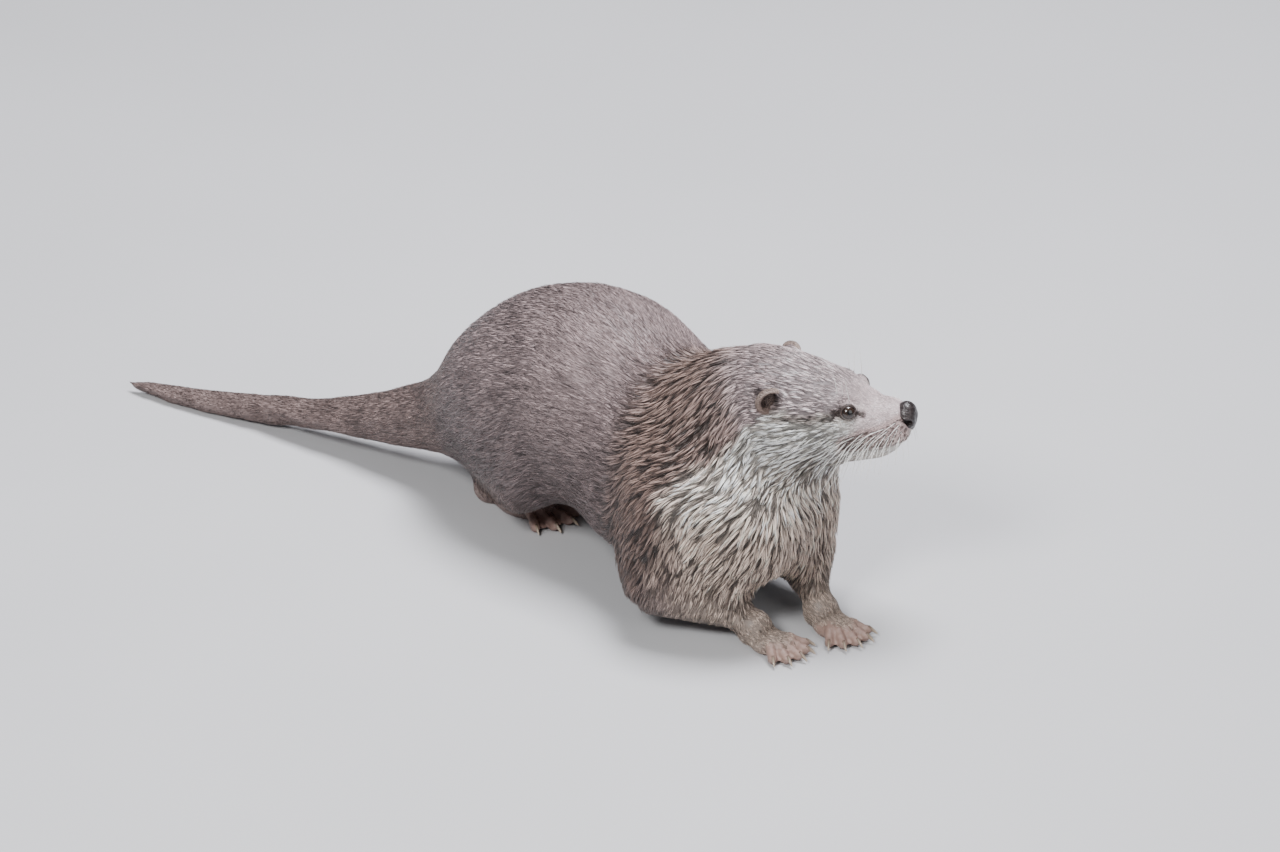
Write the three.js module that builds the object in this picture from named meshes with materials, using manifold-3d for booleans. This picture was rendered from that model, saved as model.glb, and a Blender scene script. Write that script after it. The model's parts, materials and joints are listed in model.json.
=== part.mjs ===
// A Eurasian otter as a still, life-size model: crouched on its four feet with the back arched high,
// the chest low between the forelegs, the head raised and turned to its left, and the tail laid on
// the floor behind. Millimetres, +X the way the trunk faces, +Y to the otter's left, +Z up.
//
// The flesh is one smooth field: tubes of oval section along curves, and oval blobs, blended together.
// Each sub-part is polygonised from that field at a mesh size that suits it and trimmed to its own
// zone, a turned box. Paws are joined ovals. Eyes, ears, nose pad and claws are seated in pockets.
import * as THREE from "three";
import Module from "manifold-3d";
import { mergeVertices } from "three/addons/utils/BufferGeometryUtils.js";
import { edgeTable, triTable } from "three/addons/objects/MarchingCubes.js";

const wasm = await Module();
wasm.setup();

// ---- driving dimensions -------------------------------------------------------------------------
const CUT = 0.35; // width of the thin cuts between sub-parts, and the clearance round seated pieces
const MESH = { trunk: 20, tail: 16.5, neck: 15, thigh: 18, leg: 13.4, head: 9.6, tip: 10 };
const SWELL = 0.0024; // flat facets lie inside a round surface; per mesh size squared, this makes up for it
const STEPS_PER_SPAN = 5; // straight pieces that stand for one span of a tube's curve

const HEAD_AT = [-29, 46, 160]; // middle of the skull
const HEAD_YAW = 36; // turned to the otter's left
const HEAD_PITCH = 1; // nose down
// In the head's own frame, +X to the nose. "stands" is how far a piece stands out of the head.
const EYE = { x: 31.5, z: 6.5, radius: 6.4, stands: 1.6 };
const EAR = { x: -20, z: 16, radii: [10.5, 6, 10], scoop: [8, 6.5, 7.6], dish: 3.4, turn: 28, stands: 6 };
const NOSE = { x: 69, z: -2.5, radii: [8, 9.6, 8.6] };

const COLOURS = {
  back: 0x6e5c55,
  face: 0x85766f,
  throat: 0xb8ada6,
  paw: 0x5b463e,
  ear: 0x3c2f2a,
  nose: 0x1b1716,
  eye: 0x0d0b0c,
  claw: 0x4d4039,
};

const point = (x, y, z) => new THREE.Vector3(x, y, z);
const UP = point(0, 0, 1);

// A place and a turn: yaw about +Z, then pitch with the front end down, both in degrees.
function frameAt(place, yaw = 0, pitch = 0) {
  const turn = new THREE.Euler(0, THREE.MathUtils.degToRad(pitch), THREE.MathUtils.degToRad(yaw), "ZYX");
  return new THREE.Matrix4().makeRotationFromEuler(turn).setPosition(...place);
}

// ---- the field ----------------------------------------------------------------------------------
// A tube of oval section. Stations are [x, y, z, half width, half height]; width is level, and height
// is measured square to the tube's own line.
function tube(stations, blend) {
  const line = new THREE.CatmullRomCurve3(stations.map((s) => point(s[0], s[1], s[2])));
  const ovals = new THREE.CatmullRomCurve3(stations.map((s) => point(s[3], s[4], 0)));
  const count = (stations.length - 1) * STEPS_PER_SPAN;
  const spans = Array.from({ length: count }, (_, i) => {
    const from = line.getPoint(i / count);
    const along = line.getPoint((i + 1) / count).sub(from);
    const side = new THREE.Vector3().crossVectors(UP, along).normalize();
    const oval = ovals.getPoint(i / count);
    const grow = ovals.getPoint((i + 1) / count).sub(oval);
    return { from, along, side, oval, grow };
  });
  const offset = point(0, 0, 0);
  const distance = (p) => {
    let nearest = Infinity;
    for (const { from, along, side, oval, grow } of spans) {
      offset.subVectors(p, from);
      const t = THREE.MathUtils.clamp(offset.dot(along) / along.lengthSq(), 0, 1);
      offset.addScaledVector(along, -t);
      const width = oval.x + t * grow.x;
      const height = oval.y + t * grow.y;
      const level = offset.dot(side);
      const rest = Math.max(offset.lengthSq() - level * level, 0);
      const share = Math.sqrt((level / width) ** 2 + rest / height ** 2);
      nearest = Math.min(nearest, (share - 1) * Math.min(width, height));
    }
    return nearest;
  };
  return { distance, blend };
}

// An oval blob in a frame of its own.
function blob(frame, radii, blend) {
  const inverse = frame.clone().invert();
  const smallest = Math.min(...radii);
  const local = point(0, 0, 0);
  const distance = (p) => {
    local.copy(p).applyMatrix4(inverse);
    return (Math.hypot(local.x / radii[0], local.y / radii[1], local.z / radii[2]) - 1) * smallest;
  };
  return { distance, blend };
}

// Joins shapes, rounding each one's meeting with those before it over its blend.
function blendOf(shapes) {
  return (p) =>
    shapes.reduce((soFar, { distance, blend }) => {
      const d = distance(p);
      const h = Math.max(1 - Math.abs(soFar - d) / blend, 0);
      return Math.min(soFar, d) - h * h * blend * 0.25;
    }, 1e6);
}

// ---- head ----------------------------------------------------------------------------------------
const headFrame = frameAt(HEAD_AT, HEAD_YAW, HEAD_PITCH);
const onHead = (x, y, z) => point(x, y, z).applyMatrix4(headFrame);
const headBlob = (x, y, z, radii, blend, yaw = 0, pitch = 0) =>
  blob(headFrame.clone().multiply(frameAt([x, y, z], yaw, pitch)), radii, blend);

// x, z, half width and half height, in the head's own frame, from the nape to the muzzle
const skull = [
  [-48, -8, 39, 35],
  [-20, -4, 42, 36.5],
  [5, -6, 40, 33.5],
  [24, -9.5, 31, 28],
  [39, -10.5, 24, 22],
  [52, -9, 20.5, 19],
  [60, -7, 17, 15],
  [62, -7.5, 13, 11],
];

function headShapes() {
  const bothSides = [-1, 1].flatMap((side) => [
    headBlob(-12, side * 25, -14, [32, 19, 25], 10, side * -12, 4), // cheek
    headBlob(28, side * 14.5, 1, [14, 9, 8], 8, side * -14, 12), // brow
    headBlob(50, side * 12.5, -15, [17, 11, 11], 8, side * -10), // whisker pad
  ]);
  const jaw = headBlob(32, 0, -31, [31, 14, 10], 8, 0, -6);
  return [tube(skull.map(([x, z, ...oval]) => [...onHead(x, 0, z), ...oval]), 20), ...bothSides, jaw];
}

// ---- neck, trunk and tail --------------------------------------------------------------------------
const trunk = [
  [-306, -16, 66, 44, 42],
  [-276, -10, 84, 64, 64],
  [-240, -1, 99, 72, 78],
  [-204, 5, 106, 73, 82],
  [-164, 7, 101, 68, 74],
  [-122, 7, 91, 65, 67],
  [-78, 5, 86, 67, 64],
  [-46, -7, 81, 56, 54],
];
const neck = [
  [-100, 6, 108, 57, 54],
  [-84, 12, 133, 50, 47],
  [-67, 19, 151, 42, 39],
];
const tail = [
  [-290, -14, 68, 42, 42],
  [-326, -24, 54, 33, 32],
  [-372, -41, 38, 26, 23.5],
  [-434, -64, 22.5, 18, 13.6],
  [-500, -90, 10.5, 13.5, 10.6],
  [-560, -115, 6.2, 9.5, 7.6],
  [-596, -131, 4.4, 5.6, 5.4],
];
const belly = blob(frameAt([-116, 0, 61]), [72, 66, 37], 20);

// ---- legs ------------------------------------------------------------------------------------------
// The forelegs reach in under the chest, the right elbow out to the side. The hind legs are folded.
const legs = {
  foreleg_right: {
    upper: [[-62, -34, 92, 36, 42], [-68, -50, 64, 31, 34], [-72, -61, 37, 24, 23]],
    lower: [[-72, -61, 35, 22, 21], [-48, -44, 26, 18, 17], [-20, -22, 16, 13, 12]],
  },
  foreleg_left: {
    upper: [[-46, 36, 92, 36, 42], [-40, 44, 66, 28, 33], [-34, 47, 44, 22, 22]],
    lower: [[-34, 47, 42, 20, 20], [-22, 42, 28, 17, 17], [-8, 34, 16, 13, 12]],
  },
  hindleg_right: {
    upper: [[-268, -30, 86, 32, 44], [-250, -42, 66, 28, 38], [-232, -49, 49, 23, 27]],
    lower: [[-232, -47, 44, 20, 21], [-262, -38, 31, 16, 17], [-293, -29, 18, 13, 12]],
  },
  hindleg_left: {
    upper: [[-260, 34, 86, 32, 44], [-238, 50, 66, 28, 38], [-218, 58, 49, 23, 27]],
    lower: [[-218, 57, 44, 20, 21], [-250, 53, 31, 16, 17], [-283, 47, 18, 13, 12]],
  },
};

const flesh = blendOf([
  tube(trunk, 20),
  belly,
  tube(neck, 26),
  tube(tail, 22),
  ...headShapes(),
  ...Object.values(legs).flatMap(({ upper, lower }) => [tube(upper, 20), tube(lower, 10)]),
]);

// ---- solids ----------------------------------------------------------------------------------------
function solidOf(geometry) {
  const bare = geometry.clone();
  bare.deleteAttribute("normal");
  bare.deleteAttribute("uv");
  const merged = mergeVertices(bare, 1e-3);
  return new wasm.Manifold(
    new wasm.Mesh({
      numProp: 3,
      vertProperties: new Float32Array(merged.attributes.position.array),
      triVerts: new Uint32Array(merged.index.array),
    }),
  );
}

function geometryOf(solid) {
  const { vertProperties, triVerts } = solid.getMesh();
  const geometry = new THREE.BufferGeometry();
  geometry.setAttribute("position", new THREE.BufferAttribute(new Float32Array(vertProperties), 3));
  geometry.setIndex(new THREE.BufferAttribute(new Uint32Array(triVerts), 1));
  geometry.computeVertexNormals();
  return geometry;
}

const boxSolid = (frame, size, grow = 0) =>
  solidOf(new THREE.BoxGeometry(...size.map((s) => s + 2 * grow)).applyMatrix4(frame));

const ovalSolid = (frame, radii, grow = 0, around = 8, down = 6) =>
  solidOf(
    new THREE.SphereGeometry(1, around, down)
      .rotateX(Math.PI / 2)
      .scale(...radii.map((r) => r + grow))
      .applyMatrix4(frame),
  );

const joined = (solids) => solids.reduce((whole, solid) => whole.add(solid));
const underFloor = boxSolid(frameAt([-250, 0, -100]), [1200, 800, 200]);

// Corners of a unit cell and the edges between them, in the order that the tables use.
const CORNERS = [[0, 0, 0], [1, 0, 0], [1, 1, 0], [0, 1, 0], [0, 0, 1], [1, 0, 1], [1, 1, 1], [0, 1, 1]];
const RIM_EDGES = [[0, 1], [1, 2], [2, 3], [3, 0]];
const EDGES = [...RIM_EDGES, ...RIM_EDGES.map(([a, b]) => [a + 4, b + 4]), [0, 4], [1, 5], [2, 6], [3, 7]];
const NEAR_CORNER = 0.06; // a crossing keeps this share of an edge away from the edge's ends

// Polygonises field < 0 inside a box with marching cubes. The rim of the box counts as outside.
function polygonise(field, box, size) {
  const cells = box.getSize(point(0, 0, 0)).divideScalar(size).ceil().toArray();
  const index = ([i, j, k]) => (k * (cells[1] + 1) + j) * (cells[0] + 1) + i;
  const where = (corner) => point(...corner).multiplyScalar(size).add(box.min);
  const each = (ends, visit) => {
    for (let k = 0; k <= ends[2]; k++) {
      for (let j = 0; j <= ends[1]; j++) {
        for (let i = 0; i <= ends[0]; i++) visit([i, j, k]);
      }
    }
  };
  const values = [];
  each(cells, (corner) => {
    const onRim = corner.some((n, axis) => n === 0 || n === cells[axis]);
    const level = field(where(corner)) - SWELL * size * size;
    values.push(onRim ? Math.max(level, size) : level);
  });
  const positions = [];
  const made = new Map();
  const crossing = (a, b) => {
    const [low, high] = [a, b].sort((one, other) => index(one) - index(other));
    const key = `${index(low)}_${index(high)}`;
    if (!made.has(key)) {
      const share = values[index(low)] / (values[index(low)] - values[index(high)]);
      const t = THREE.MathUtils.clamp(share, NEAR_CORNER, 1 - NEAR_CORNER);
      made.set(key, positions.length / 3);
      positions.push(...where(low).lerp(where(high), t));
    }
    return made.get(key);
  };
  const triangles = [];
  each(cells.map((n) => n - 1), (cell) => {
    const corners = CORNERS.map((c) => c.map((n, axis) => n + cell[axis]));
    const inside = corners.reduce((mask, c, n) => (values[index(c)] < 0 ? mask | (1 << n) : mask), 0);
    if (!edgeTable[inside]) return;
    for (let n = inside * 16; triTable[n] !== -1; n++)
      triangles.push(crossing(...EDGES[triTable[n]].map((c) => corners[c])));
  });
  const geometry = new THREE.BufferGeometry();
  geometry.setAttribute("position", new THREE.Float32BufferAttribute(positions, 3));
  geometry.setIndex(triangles.reverse());
  return solidOf(geometry);
}

// ---- paws and claws --------------------------------------------------------------------------------
const TOES = [-34, -17, 0, 16, 32]; // how each toe fans out, in degrees
const TOE_REACH = [0.84, 0.97, 1, 0.97, 0.84];
const FOREPAW = { palm: [17, 15, 8], wrist: [14, 14, 14], reach: 28, toe: [12, 4.2, 4.6], back: 12 };
const HINDPAW = { palm: [26, 17, 8.5], wrist: [15, 14, 14], reach: 37, toe: [16, 4.6, 4.8], back: 27 };
const CLAW = { length: 7.5, radius: 1.8, height: 4.5, droop: 22 };
const WEB = { thick: 2.6, onToe: 1.05, between: 0.84 }; // the last two are shares of the toes' reach

const paws = {
  foreleg_right: { shape: FOREPAW, place: [-5, -18, 0], yaw: 7 },
  foreleg_left: { shape: FOREPAW, place: [6, 33, 0], yaw: -5 },
  hindleg_right: { shape: HINDPAW, place: [-270, -23, 0], yaw: 14 },
  hindleg_left: { shape: HINDPAW, place: [-258, 45, 0], yaw: 6 },
};

// A fan of web between the toes, scalloped at its front edge and flat on the floor.
function webSolid(frame, { reach }, grow) {
  const tip = (turn, share) => {
    const angle = THREE.MathUtils.degToRad(turn);
    return [Math.cos(angle) * reach * share, Math.sin(angle) * reach * share];
  };
  const edge = TOES.flatMap((turn, n) => {
    const onToe = tip(turn, WEB.onToe * TOE_REACH[n]);
    return n + 1 < TOES.length ? [onToe, tip((turn + TOES[n + 1]) / 2, WEB.between)] : [onToe];
  });
  const outline = new THREE.Shape([[0, -8], ...edge, [0, 8]].map((p) => new THREE.Vector2(...p)));
  const fan = new THREE.ExtrudeGeometry(outline, { depth: WEB.thick + grow, bevelEnabled: false });
  return solidOf(fan.applyMatrix4(frame));
}

function pawSolid({ shape, place, yaw }, grow = 0) {
  const frame = frameAt(place, yaw);
  const on = (x, y, z, turn = 0) => frame.clone().multiply(frameAt([x, y, z], turn));
  const toes = TOES.map((turn, n) => {
    const out = on(0, 0, 4, turn).multiply(frameAt([shape.reach * TOE_REACH[n], 0, 0]));
    return ovalSolid(out, shape.toe, grow, 5, 4);
  });
  const palm = ovalSolid(on(4, 0, 4.5), shape.palm, grow, 8, 5);
  const wrist = ovalSolid(on(-shape.back, 0, 10), shape.wrist, grow, 8, 5);
  return joined([palm, wrist, webSolid(frame, shape, grow), ...toes]).subtract(underFloor);
}

function clawSolid({ shape, place, yaw }, n) {
  const cone = new THREE.ConeGeometry(CLAW.radius, CLAW.length, 4, 1).rotateZ(-Math.PI / 2);
  const out = shape.reach * TOE_REACH[n] + shape.toe[0] + CLAW.length * 0.08;
  const frame = frameAt(place, yaw + TOES[n]).multiply(frameAt([out, 0, CLAW.height], 0, CLAW.droop));
  return solidOf(cone.applyMatrix4(frame)).subtract(underFloor);
}

// ---- eyes, ears and nose -----------------------------------------------------------------------------
// How far the head's surface lies from its middle plane at x, z, found by halving.
function halfWidthAt(x, z, side) {
  let [inside, outside] = [0, 80];
  while (outside - inside > 0.05) {
    const middle = (inside + outside) / 2;
    if (flesh(onHead(x, side * middle, z)) < 0) inside = middle;
    else outside = middle;
  }
  return inside;
}

const SIDES = { right: -1, left: 1 };

function eyeSolid(side, grow = 0) {
  const y = halfWidthAt(EYE.x, EYE.z, side) + EYE.stands - EYE.radius;
  const frame = headFrame.clone().multiply(frameAt([EYE.x, side * y, EYE.z]));
  return ovalSolid(frame, [EYE.radius, EYE.radius, EYE.radius], grow);
}

// "grow" gives the pocket's full oval; without it the ear is dished and faces outward and forward.
function earSolid(side, grow = 0) {
  const y = halfWidthAt(EAR.x, EAR.z, side) + EAR.stands - EAR.radii[1];
  const frame = headFrame.clone().multiply(frameAt([EAR.x, side * y, EAR.z], side * -EAR.turn));
  const outer = ovalSolid(frame, EAR.radii, grow);
  if (grow) return outer;
  return outer.subtract(ovalSolid(frame.multiply(frameAt([0, side * EAR.dish, 1])), EAR.scoop));
}

const noseSolid = (grow = 0) =>
  ovalSolid(headFrame.clone().multiply(frameAt([NOSE.x, 0, NOSE.z])), NOSE.radii, grow);

// ---- zones: the turned boxes that each sub-part of the flesh is trimmed to -----------------------------
// A zone is where all its boxes overlap, and an earlier zone keeps what two of them share.
const box = (place, size, yaw = 0, pitch = 0) => ({ frame: frameAt(place, yaw, pitch), size });
const headBox = (place, size, pitch = 0) => {
  const frame = headFrame.clone().multiply(frameAt(place, 0, pitch));
  return { frame, size };
};
const slab = (from, to) => box([(from + to) / 2, 0, 140], [to - from, 600, 320]);
const tailFrame = frameAt([-304, -18, 140], 20);
const tailSlab = (from, to) => ({
  frame: tailFrame.clone().multiply(frameAt([-(from + to) / 2, 0, 0])),
  size: [to - from, 260, 320],
});

const ZONES = [
  { name: "foreleg_right_lower", mesh: MESH.leg, boxes: [box([-44, -40, 16], [82, 54, 54], 39, 14)] },
  { name: "foreleg_left_lower", mesh: MESH.leg, boxes: [box([-21, 40, 14], [60, 50, 50], -29, 20)] },
  { name: "hindleg_right_lower", mesh: MESH.leg, boxes: [box([-266, -40, 14], [104, 46, 40], -16, -20)] },
  { name: "hindleg_left_lower", mesh: MESH.leg, boxes: [box([-254, 56, 14], [104, 46, 40], -9, -20)] },
  { name: "foreleg_right_upper", mesh: MESH.thigh, boxes: [box([-74, -78, 66], [84, 64, 84], -8)] },
  { name: "foreleg_left_upper", mesh: MESH.thigh, boxes: [box([-44, 78, 66], [84, 64, 84], -8)] },
  { name: "hindleg_right_upper", mesh: MESH.thigh, boxes: [box([-250, -76, 68], [100, 64, 88], 8)] },
  { name: "hindleg_left_upper", mesh: MESH.thigh, boxes: [box([-240, 84, 68], [100, 64, 88], 8)] },
  {
    name: "head",
    mesh: MESH.head,
    boxes: [headBox([30, 0, 12], [124, 140, 200], -24), headBox([20, 0, 7], [180, 100, 108])],
  },
  {
    name: "neck",
    mesh: MESH.neck,
    boxes: [
      box([-57, 30, 189], [124, 220, 200], 23, -67),
      slab(-122, 90),
      headBox([-108, 0, 0], [200, 400, 400]),
    ],
  },
  { name: "chest", mesh: MESH.trunk, boxes: [slab(-116, 90)] },
  { name: "loin", mesh: MESH.trunk, boxes: [slab(-210, -116)] },
  { name: "rump", mesh: MESH.trunk, boxes: [slab(-380, -210), tailSlab(-200, 12)] },
  { name: "tail_base", mesh: MESH.tail, boxes: [tailSlab(12, 104)] },
  { name: "tail_middle", mesh: MESH.tail, boxes: [tailSlab(104, 200)] },
  { name: "tail_tip", mesh: MESH.tip, boxes: [tailSlab(200, 380)] },
];

const zoneSolid = ({ boxes }, grow = 0) =>
  boxes.map(({ frame, size }) => boxSolid(frame, size, grow)).reduce((a, b) => a.intersect(b));

function boundsOf(solid, margin) {
  const { min, max } = solid.boundingBox();
  return new THREE.Box3(point(...min), point(...max)).expandByScalar(margin);
}

const BODY_BOUNDS = new THREE.Box3(point(-640, -190, -12), point(60, 140, 225));

function fleshPieces(pockets) {
  let taken = pockets;
  return ZONES.map((zone) => {
    const solid = zoneSolid(zone);
    const bounds = boundsOf(solid, zone.mesh * 1.5).intersect(BODY_BOUNDS);
    const piece = polygonise(flesh, bounds, zone.mesh).intersect(solid).subtract(taken);
    taken = taken.add(zoneSolid(zone, CUT));
    return [zone.name, piece];
  });
}

// ---- the otter -----------------------------------------------------------------------------------------
const COATS = { head: COLOURS.face, neck: COLOURS.throat, chest: COLOURS.throat };
const COAT = { roughness: 0.85, metalness: 0 };
const WET = { roughness: 0.25, metalness: 0 };
const otter = new THREE.Group();

function add(name, solid, colour, finish = COAT) {
  const largest = solid.decompose().sort((a, b) => b.volume() - a.volume())[0];
  const material = new THREE.MeshStandardMaterial({ color: colour, ...finish });
  const mesh = new THREE.Mesh(geometryOf(largest), material);
  mesh.name = name;
  otter.add(mesh);
}

const pockets = [noseSolid(CUT), ...Object.values(paws).map((paw) => pawSolid(paw, CUT))];
for (const side of Object.values(SIDES)) pockets.push(eyeSolid(side, CUT), earSolid(side, CUT));
for (const [name, solid] of fleshPieces(joined([underFloor, ...pockets])))
  add(name, solid, COATS[name] ?? COLOURS.back);

add("nose_pad", noseSolid(), COLOURS.nose, WET);
for (const [name, side] of Object.entries(SIDES)) {
  add(`eye_${name}`, eyeSolid(side), COLOURS.eye, WET);
  add(`ear_${name}`, earSolid(side), COLOURS.ear);
}
for (const [leg, paw] of Object.entries(paws)) {
  add(`${leg}_paw`, pawSolid(paw), COLOURS.paw);
  const clearance = pawSolid(paw, CUT);
  TOES.forEach((_, n) => add(`${leg}_claw_${n + 1}`, clawSolid(paw, n).subtract(clearance), COLOURS.claw));
}

// The origin is on the floor, under the middle of the whole animal.
const extent = new THREE.Box3().setFromObject(otter);
const middle = extent.getCenter(point(0, 0, 0));
otter.position.set(-middle.x, -middle.y, -extent.min.z);

export default otter;
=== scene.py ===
# %% [markdown]
# # A wet Eurasian otter, crouched and looking to its left
# The solid model gives the animal's true size and outline, part by part. Here those parts get one
# skin without seams, a coat of thousands of small locks of fur, and finely modelled eyes, ears,
# nose, claws and whiskers. Everything is in metres, in the same frame as the solids, so nothing
# has to be fitted.

# %% Load the solid model
import json
import math
from contextlib import contextmanager
import bpy
import numpy as np
from mathutils import Euler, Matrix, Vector
from mathutils.bvhtree import BVHTree
from mathutils.kdtree import KDTree

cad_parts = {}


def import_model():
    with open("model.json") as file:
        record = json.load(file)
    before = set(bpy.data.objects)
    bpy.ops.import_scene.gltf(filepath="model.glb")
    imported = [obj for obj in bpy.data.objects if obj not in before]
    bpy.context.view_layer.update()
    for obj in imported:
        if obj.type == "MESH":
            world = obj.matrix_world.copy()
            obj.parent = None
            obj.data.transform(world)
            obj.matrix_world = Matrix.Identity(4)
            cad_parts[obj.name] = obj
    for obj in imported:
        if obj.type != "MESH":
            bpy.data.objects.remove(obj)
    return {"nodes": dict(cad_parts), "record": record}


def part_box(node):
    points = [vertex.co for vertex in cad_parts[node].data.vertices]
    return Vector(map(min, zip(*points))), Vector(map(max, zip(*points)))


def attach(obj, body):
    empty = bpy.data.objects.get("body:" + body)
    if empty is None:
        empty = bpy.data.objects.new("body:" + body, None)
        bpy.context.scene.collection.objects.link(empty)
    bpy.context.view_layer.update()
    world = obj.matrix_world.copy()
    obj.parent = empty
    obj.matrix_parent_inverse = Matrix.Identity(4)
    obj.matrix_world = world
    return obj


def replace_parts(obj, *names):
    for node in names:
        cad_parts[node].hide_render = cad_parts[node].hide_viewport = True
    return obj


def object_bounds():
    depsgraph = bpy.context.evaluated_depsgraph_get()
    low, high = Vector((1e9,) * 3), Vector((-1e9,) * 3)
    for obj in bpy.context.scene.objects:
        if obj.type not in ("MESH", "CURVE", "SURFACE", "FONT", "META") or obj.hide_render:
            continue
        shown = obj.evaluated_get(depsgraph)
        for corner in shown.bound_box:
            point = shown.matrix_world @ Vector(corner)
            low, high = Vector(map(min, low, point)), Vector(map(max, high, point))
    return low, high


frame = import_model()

MM = 0.001
RNG = np.random.default_rng(7)
solid_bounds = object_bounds()
box_in_mm = [[round(x / MM) for x in corner] for corner in solid_bounds]
print("solids:", len(frame["nodes"]), "box in mm:", box_in_mm)

# %% [markdown]
# ## Camera
# An animal seen from some metres away through a long lens shows true proportions. The camera is
# placed by the point it looks at, the direction it looks from and its distance, which are easier
# to judge than its own coordinates.

# %% Camera
LOOK_AT = Vector((0.156, -0.015, 0.130))
VIEW_TURN, VIEW_RISE, VIEW_DISTANCE = math.radians(50), math.radians(28), 5.0
LENS_MM = 201
camera_data = bpy.data.cameras.new("camera")
camera_data.lens = LENS_MM
camera_data.clip_end = 50
camera = bpy.data.objects.new("camera", camera_data)
bpy.context.scene.collection.objects.link(camera)
camera.rotation_euler = (math.pi / 2 - VIEW_RISE, 0, VIEW_TURN)
camera.location = LOOK_AT + camera.rotation_euler.to_matrix() @ Vector((0, 0, VIEW_DISTANCE))
bpy.context.scene.camera = camera

# %% [markdown]
# ## Small tools for selecting and measuring
# An operator acts on whatever is selected, so each step first selects its own object alone.
# Arrays of vertex places let thousands of points be worked on at once.

# %% Selecting and reading
def select_only(piece):
    """Leaves one object selected and active, in object mode."""
    if bpy.context.mode != "OBJECT":
        bpy.ops.object.mode_set(mode="OBJECT")
    bpy.ops.object.select_all(action="DESELECT")
    piece.select_set(True)
    bpy.context.view_layer.objects.active = piece


@contextmanager
def editing(piece, action="SELECT"):
    """Edit mode for one object, with all of it selected, none of it, or (None) what was before."""
    select_only(piece)
    bpy.ops.object.mode_set(mode="EDIT")
    if action:
        bpy.ops.mesh.select_all(action=action)
    yield
    bpy.ops.object.mode_set(mode="OBJECT")


def link(piece):
    bpy.context.scene.collection.objects.link(piece)
    return piece


def read(items, field, width, kind=np.float32):
    """One field of all vertices, edges, loops or faces as an array."""
    values = np.empty(len(items) * width, kind)
    items.foreach_get(field, values)
    return values.reshape(-1, width) if width > 1 else values


def places(piece):
    return read(piece.data.vertices, "co", 3).astype(float)


def normals_of(piece):
    return read(piece.data.vertices, "normal", 3)


def write(items, field, values, kind=np.float32):
    """Writes one field of all vertices, loops or faces from an array."""
    items.foreach_set(field, values.astype(kind).ravel())


def move_to(piece, points):
    write(piece.data.vertices, "co", points)
    piece.data.update()


def length_of(vectors):
    return np.linalg.norm(vectors, axis=-1)


def unit(vectors):
    return vectors / np.maximum(length_of(vectors)[..., None], 1e-12)


def near(values, centre, width):
    """A bell: one at its centre, falling to a third at its width."""
    return np.exp(-(((values - centre) / width) ** 2))


def smooth_step(low, high, values):
    """Nothing up to the low end, one from the high end on. The low end may exceed the high one."""
    t = np.clip((values - low) / (high - low), 0, 1)
    return t * t * (3 - 2 * t)


def middle(node):
    low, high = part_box(node)
    return np.array((low + high) / 2)


# %% [markdown]
# ## Landmarks of the head
# The face is easiest to describe in the head's own directions. They come from the solids: the
# line through the two eyes points left, and the level direction square to it points ahead. Places
# on the face below are millimetres from the point midway between the eyes: ahead, left, up.

# %% Head directions
EYE_PLACES = {"right": middle("eye_right"), "left": middle("eye_left")}
SIDES = {"right": -1, "left": 1}
BETWEEN_EYES = (EYE_PLACES["right"] + EYE_PLACES["left"]) / 2
LEFTWARD = unit(EYE_PLACES["left"] - EYE_PLACES["right"])
AHEAD = unit(np.cross(LEFTWARD, [0, 0, 1]))
HEAD_TURN = np.array([AHEAD, LEFTWARD, np.cross(AHEAD, LEFTWARD)])


def to_head(points):
    return (points - BETWEEN_EYES) @ HEAD_TURN.T / MM


def from_head(points):
    return BETWEEN_EYES + np.asarray(points, float) @ HEAD_TURN * MM


NOSE = to_head(middle("nose_pad"))
EYES = {side: to_head(place) for side, place in EYE_PLACES.items()}
EARS = {side: to_head(middle(f"ear_{side}")) for side in SIDES}
EYE_RADIUS = (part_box("eye_right")[1].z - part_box("eye_right")[0].z) / 2 / MM
print("nose, mm from between the eyes:", NOSE.round(1), "eye radius, mm:", round(EYE_RADIUS, 2))

# %% [markdown]
# ## One skin
# The real animal's skin runs over the whole body, so the flesh solids are copied, swollen a
# little so that the thin cuts between them close, joined, and remeshed as one closed surface of
# small even squares. The paws are left out here, as toes need smaller squares than a trunk.

# %% Join and remesh the flesh
SWELL = 0.8 * MM
SKIN_MESH = 2.9 * MM
EAR_FILL, EAR_REACH = 3.2 * MM, 9.6 * MM
NOT_FLESH = ("eye", "ear", "nose")
FLESH = sorted(n for n in frame["nodes"] if not n.startswith(NOT_FLESH) and "claw" not in n)
SEATED = ["eye_left", "eye_right", "nose_pad"]
LEGS = [f"{end}_{side}" for end in ("foreleg", "hindleg") for side in ("right", "left")]
SOLE_MOUNTS = [mount for mount in frame["record"]["mounts"] if mount["name"].endswith("_sole")]
SOLES = {mount["name"][: -len("_sole")]: np.array(mount["pos_m"]) for mount in SOLE_MOUNTS}
CLAWS = {leg: [f"{leg}_claw_{number}" for number in range(1, 6)] for leg in LEGS}
CLAW_LONG, CLAW_SHOWN = 8.5, 0.8

# Half sizes of the palm and wrist, how far the wrist is behind the sole's middle, and how far from
# the claws' tips the toes are bare, all in millimetres.
FOREPAW = dict(palm=(16.5, 14.5, 7.2), wrist=(13.8, 13.2, 13.5), back=12.0, bare=21)
HINDPAW = dict(palm=(25.5, 16.5, 7.8), wrist=(14.8, 13.5, 13.5), back=27.0, bare=27)
PAWS = {leg: FOREPAW if leg.startswith("fore") else HINDPAW for leg in LEGS}
PALM_OUT, PALM_HEIGHT, WRIST_HEIGHT = 3, 4.6, 10
LEG_END_SCALE = 1.04  # the legs' ends are a little wider than the paws that join them


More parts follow.
